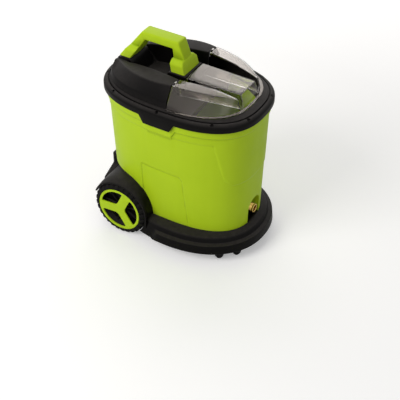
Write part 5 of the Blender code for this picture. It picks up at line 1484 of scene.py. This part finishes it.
def make_outlet():
    """Hexagon, threaded tube with a plain lip, and an open bore."""
    wall_out = RECESS_BACK_X + FIT
    profile = [(0.0035, wall_out + 0.002), (OUTLET_BORE, wall_out + 0.009),
               (OUTLET_BORE, OUTLET_END_X - 0.0008), (OUTLET_BORE + 0.0008, OUTLET_END_X),
               (OUTLET_TUBE - 0.0008, OUTLET_END_X), (OUTLET_TUBE, OUTLET_END_X - 0.0008)]
    x = OUTLET_END_X - 0.004
    profile.append((OUTLET_TUBE, x))
    while x > wall_out + 0.012 + THREAD_PITCH:
        profile += [(OUTLET_TUBE - 0.0009, x - 0.45 * THREAD_PITCH), (OUTLET_TUBE, x - THREAD_PITCH)]
        x -= THREAD_PITCH
    profile += [(OUTLET_TUBE - 0.0012, x - 0.0006), (OUTLET_TUBE - 0.0012, wall_out + 0.002),
                (0.0035, wall_out + 0.002)]
    tube = turned("brass_spout", profile[:-1], (0, 0, OUTLET_Z), (1, 0, 0), 56, 0.00018, smooth=50)
    corners = [(OUTLET_HEX * math.cos(math.pi * k / 3),
                OUTLET_Z + OUTLET_HEX * math.sin(math.pi * k / 3)) for k in range(6)]
    hexagon = prism("brass_hexagon", corners, wall_out, wall_out + 0.009, "X", 0.0009, 3)
    cut(hexagon, rod("bore", (wall_out - 0.01, 0, OUTLET_Z), (wall_out + 0.02, 0, OUTLET_Z), 0.0088))
    dress(settle(hexagon), BRASS)
    dress(tube, BRASS, stands_for=("outlet_fitting",))


make_outlet()

# ---------------------------------------------------------------- battery, button and switch

BUTTON_DROP = 0.019         # from the pack's top to the button's middle
BUTTON_HALF = (0.017, 0.0065)
POCKET_HALF = (0.0173, 0.0068)
BEZEL_HALF = (0.013, 0.017)
SWITCH_BODY_HALF = (0.011, 0.015)
SWITCH_SPACE_HALF = (0.0085, 0.0128)
ROCKER_HALF = 0.008
ROCKER_TILT = math.radians(8)


def rear_block(name, depth, middle, half, bevel=0.0, segments=3):
    """A block from one depth to another along X, round its middle in Y and Z."""
    (rear, front), (y, z), (half_y, half_z) = depth, middle, half
    return box(name, (rear, y - half_y, z - half_z), (front, y + half_y, z + half_z), bevel, segments)


def make_battery():
    low, high = PACK_Z
    end = PACK_REAR_X + PACK_LENGTH
    pack = box("battery_shell", (PACK_REAR_X, -PACK_HALF, low), (end, PACK_HALF, high), 0.005, 4)
    button_z = high - BUTTON_DROP
    middle = (0.0, button_z)
    cut(pack, rear_block("button_pocket", (PACK_REAR_X - 0.01, PACK_REAR_X + 0.0108), middle,
                         POCKET_HALF))
    for index in range(5):
        z = low + 0.006 + 0.0035 * index
        cut(pack, box("rib_%d" % index, (PACK_REAR_X - 0.01, -0.026, z),
                      (PACK_REAR_X + 0.0008, 0.026, z + 0.0014)))
    dress(settle(pack, 32), BLACK, "battery", ("battery_case",))
    button = rear_block("release_key", (PACK_REAR_X, PACK_REAR_X + 0.008), middle, BUTTON_HALF,
                        0.0016, 4)
    for index in range(4):
        y = -0.009 + 0.006 * index
        cut(button, rear_block("grip_%d" % index, (PACK_REAR_X - 0.01, PACK_REAR_X + 0.0006),
                               (y, button_z), (0.0008, 0.0045)))
    dress(settle(button, 32), GREEN, "release_button", ("battery_button",))


def make_switch():
    face = HOUSING_REAR_X
    middle = (SWITCH_Y, SWITCH_Z)
    bezel = rear_block("switch_frame", (face - 0.0025, face - FIT), middle, BEZEL_HALF, 0.0009, 3)
    join(bezel, rear_block("switch_body", (face - 0.001, face + 0.014), middle, SWITCH_BODY_HALF))
    cut(bezel, rear_block("switch_space", (face - 0.01, face + 0.010), middle, SWITCH_SPACE_HALF))
    dress(settle(bezel, 32), BLACK, stands_for=("switch_bezel",))
    outline = eased_line([(0.004, 0, -0.011), (0.004, 0, 0.011), (-0.0045, 0, 0.012),
                          (-0.0022, 0, 0.0), (-0.0045, 0, -0.012)],
                         [0.0004, 0.0004, 0.0012, 0.006, 0.0012], True, 5)
    rocker = prism("rocker_key", [(point.x, point.z) for point in outline], -ROCKER_HALF,
                   ROCKER_HALF, "Y", 0.0005, 2)
    rocker.data.transform(Matrix.Translation((face, SWITCH_Y, SWITCH_Z))
                          @ Matrix.Rotation(ROCKER_TILT, 4, "Y"))
    dress(rocker, GREEN, "power_switch", ("power_rocker",))


make_battery()
make_switch()

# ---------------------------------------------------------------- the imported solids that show

for entry in frame["record"]["subparts"]:
    solid = frame["nodes"][entry["node"]]
    finish = SLOT_FINISH[entry["material_slot"]]
    if not solid.data.materials:
        solid.data.materials.append(finish)
    for index in range(len(solid.data.materials)):
        solid.data.materials[index] = finish
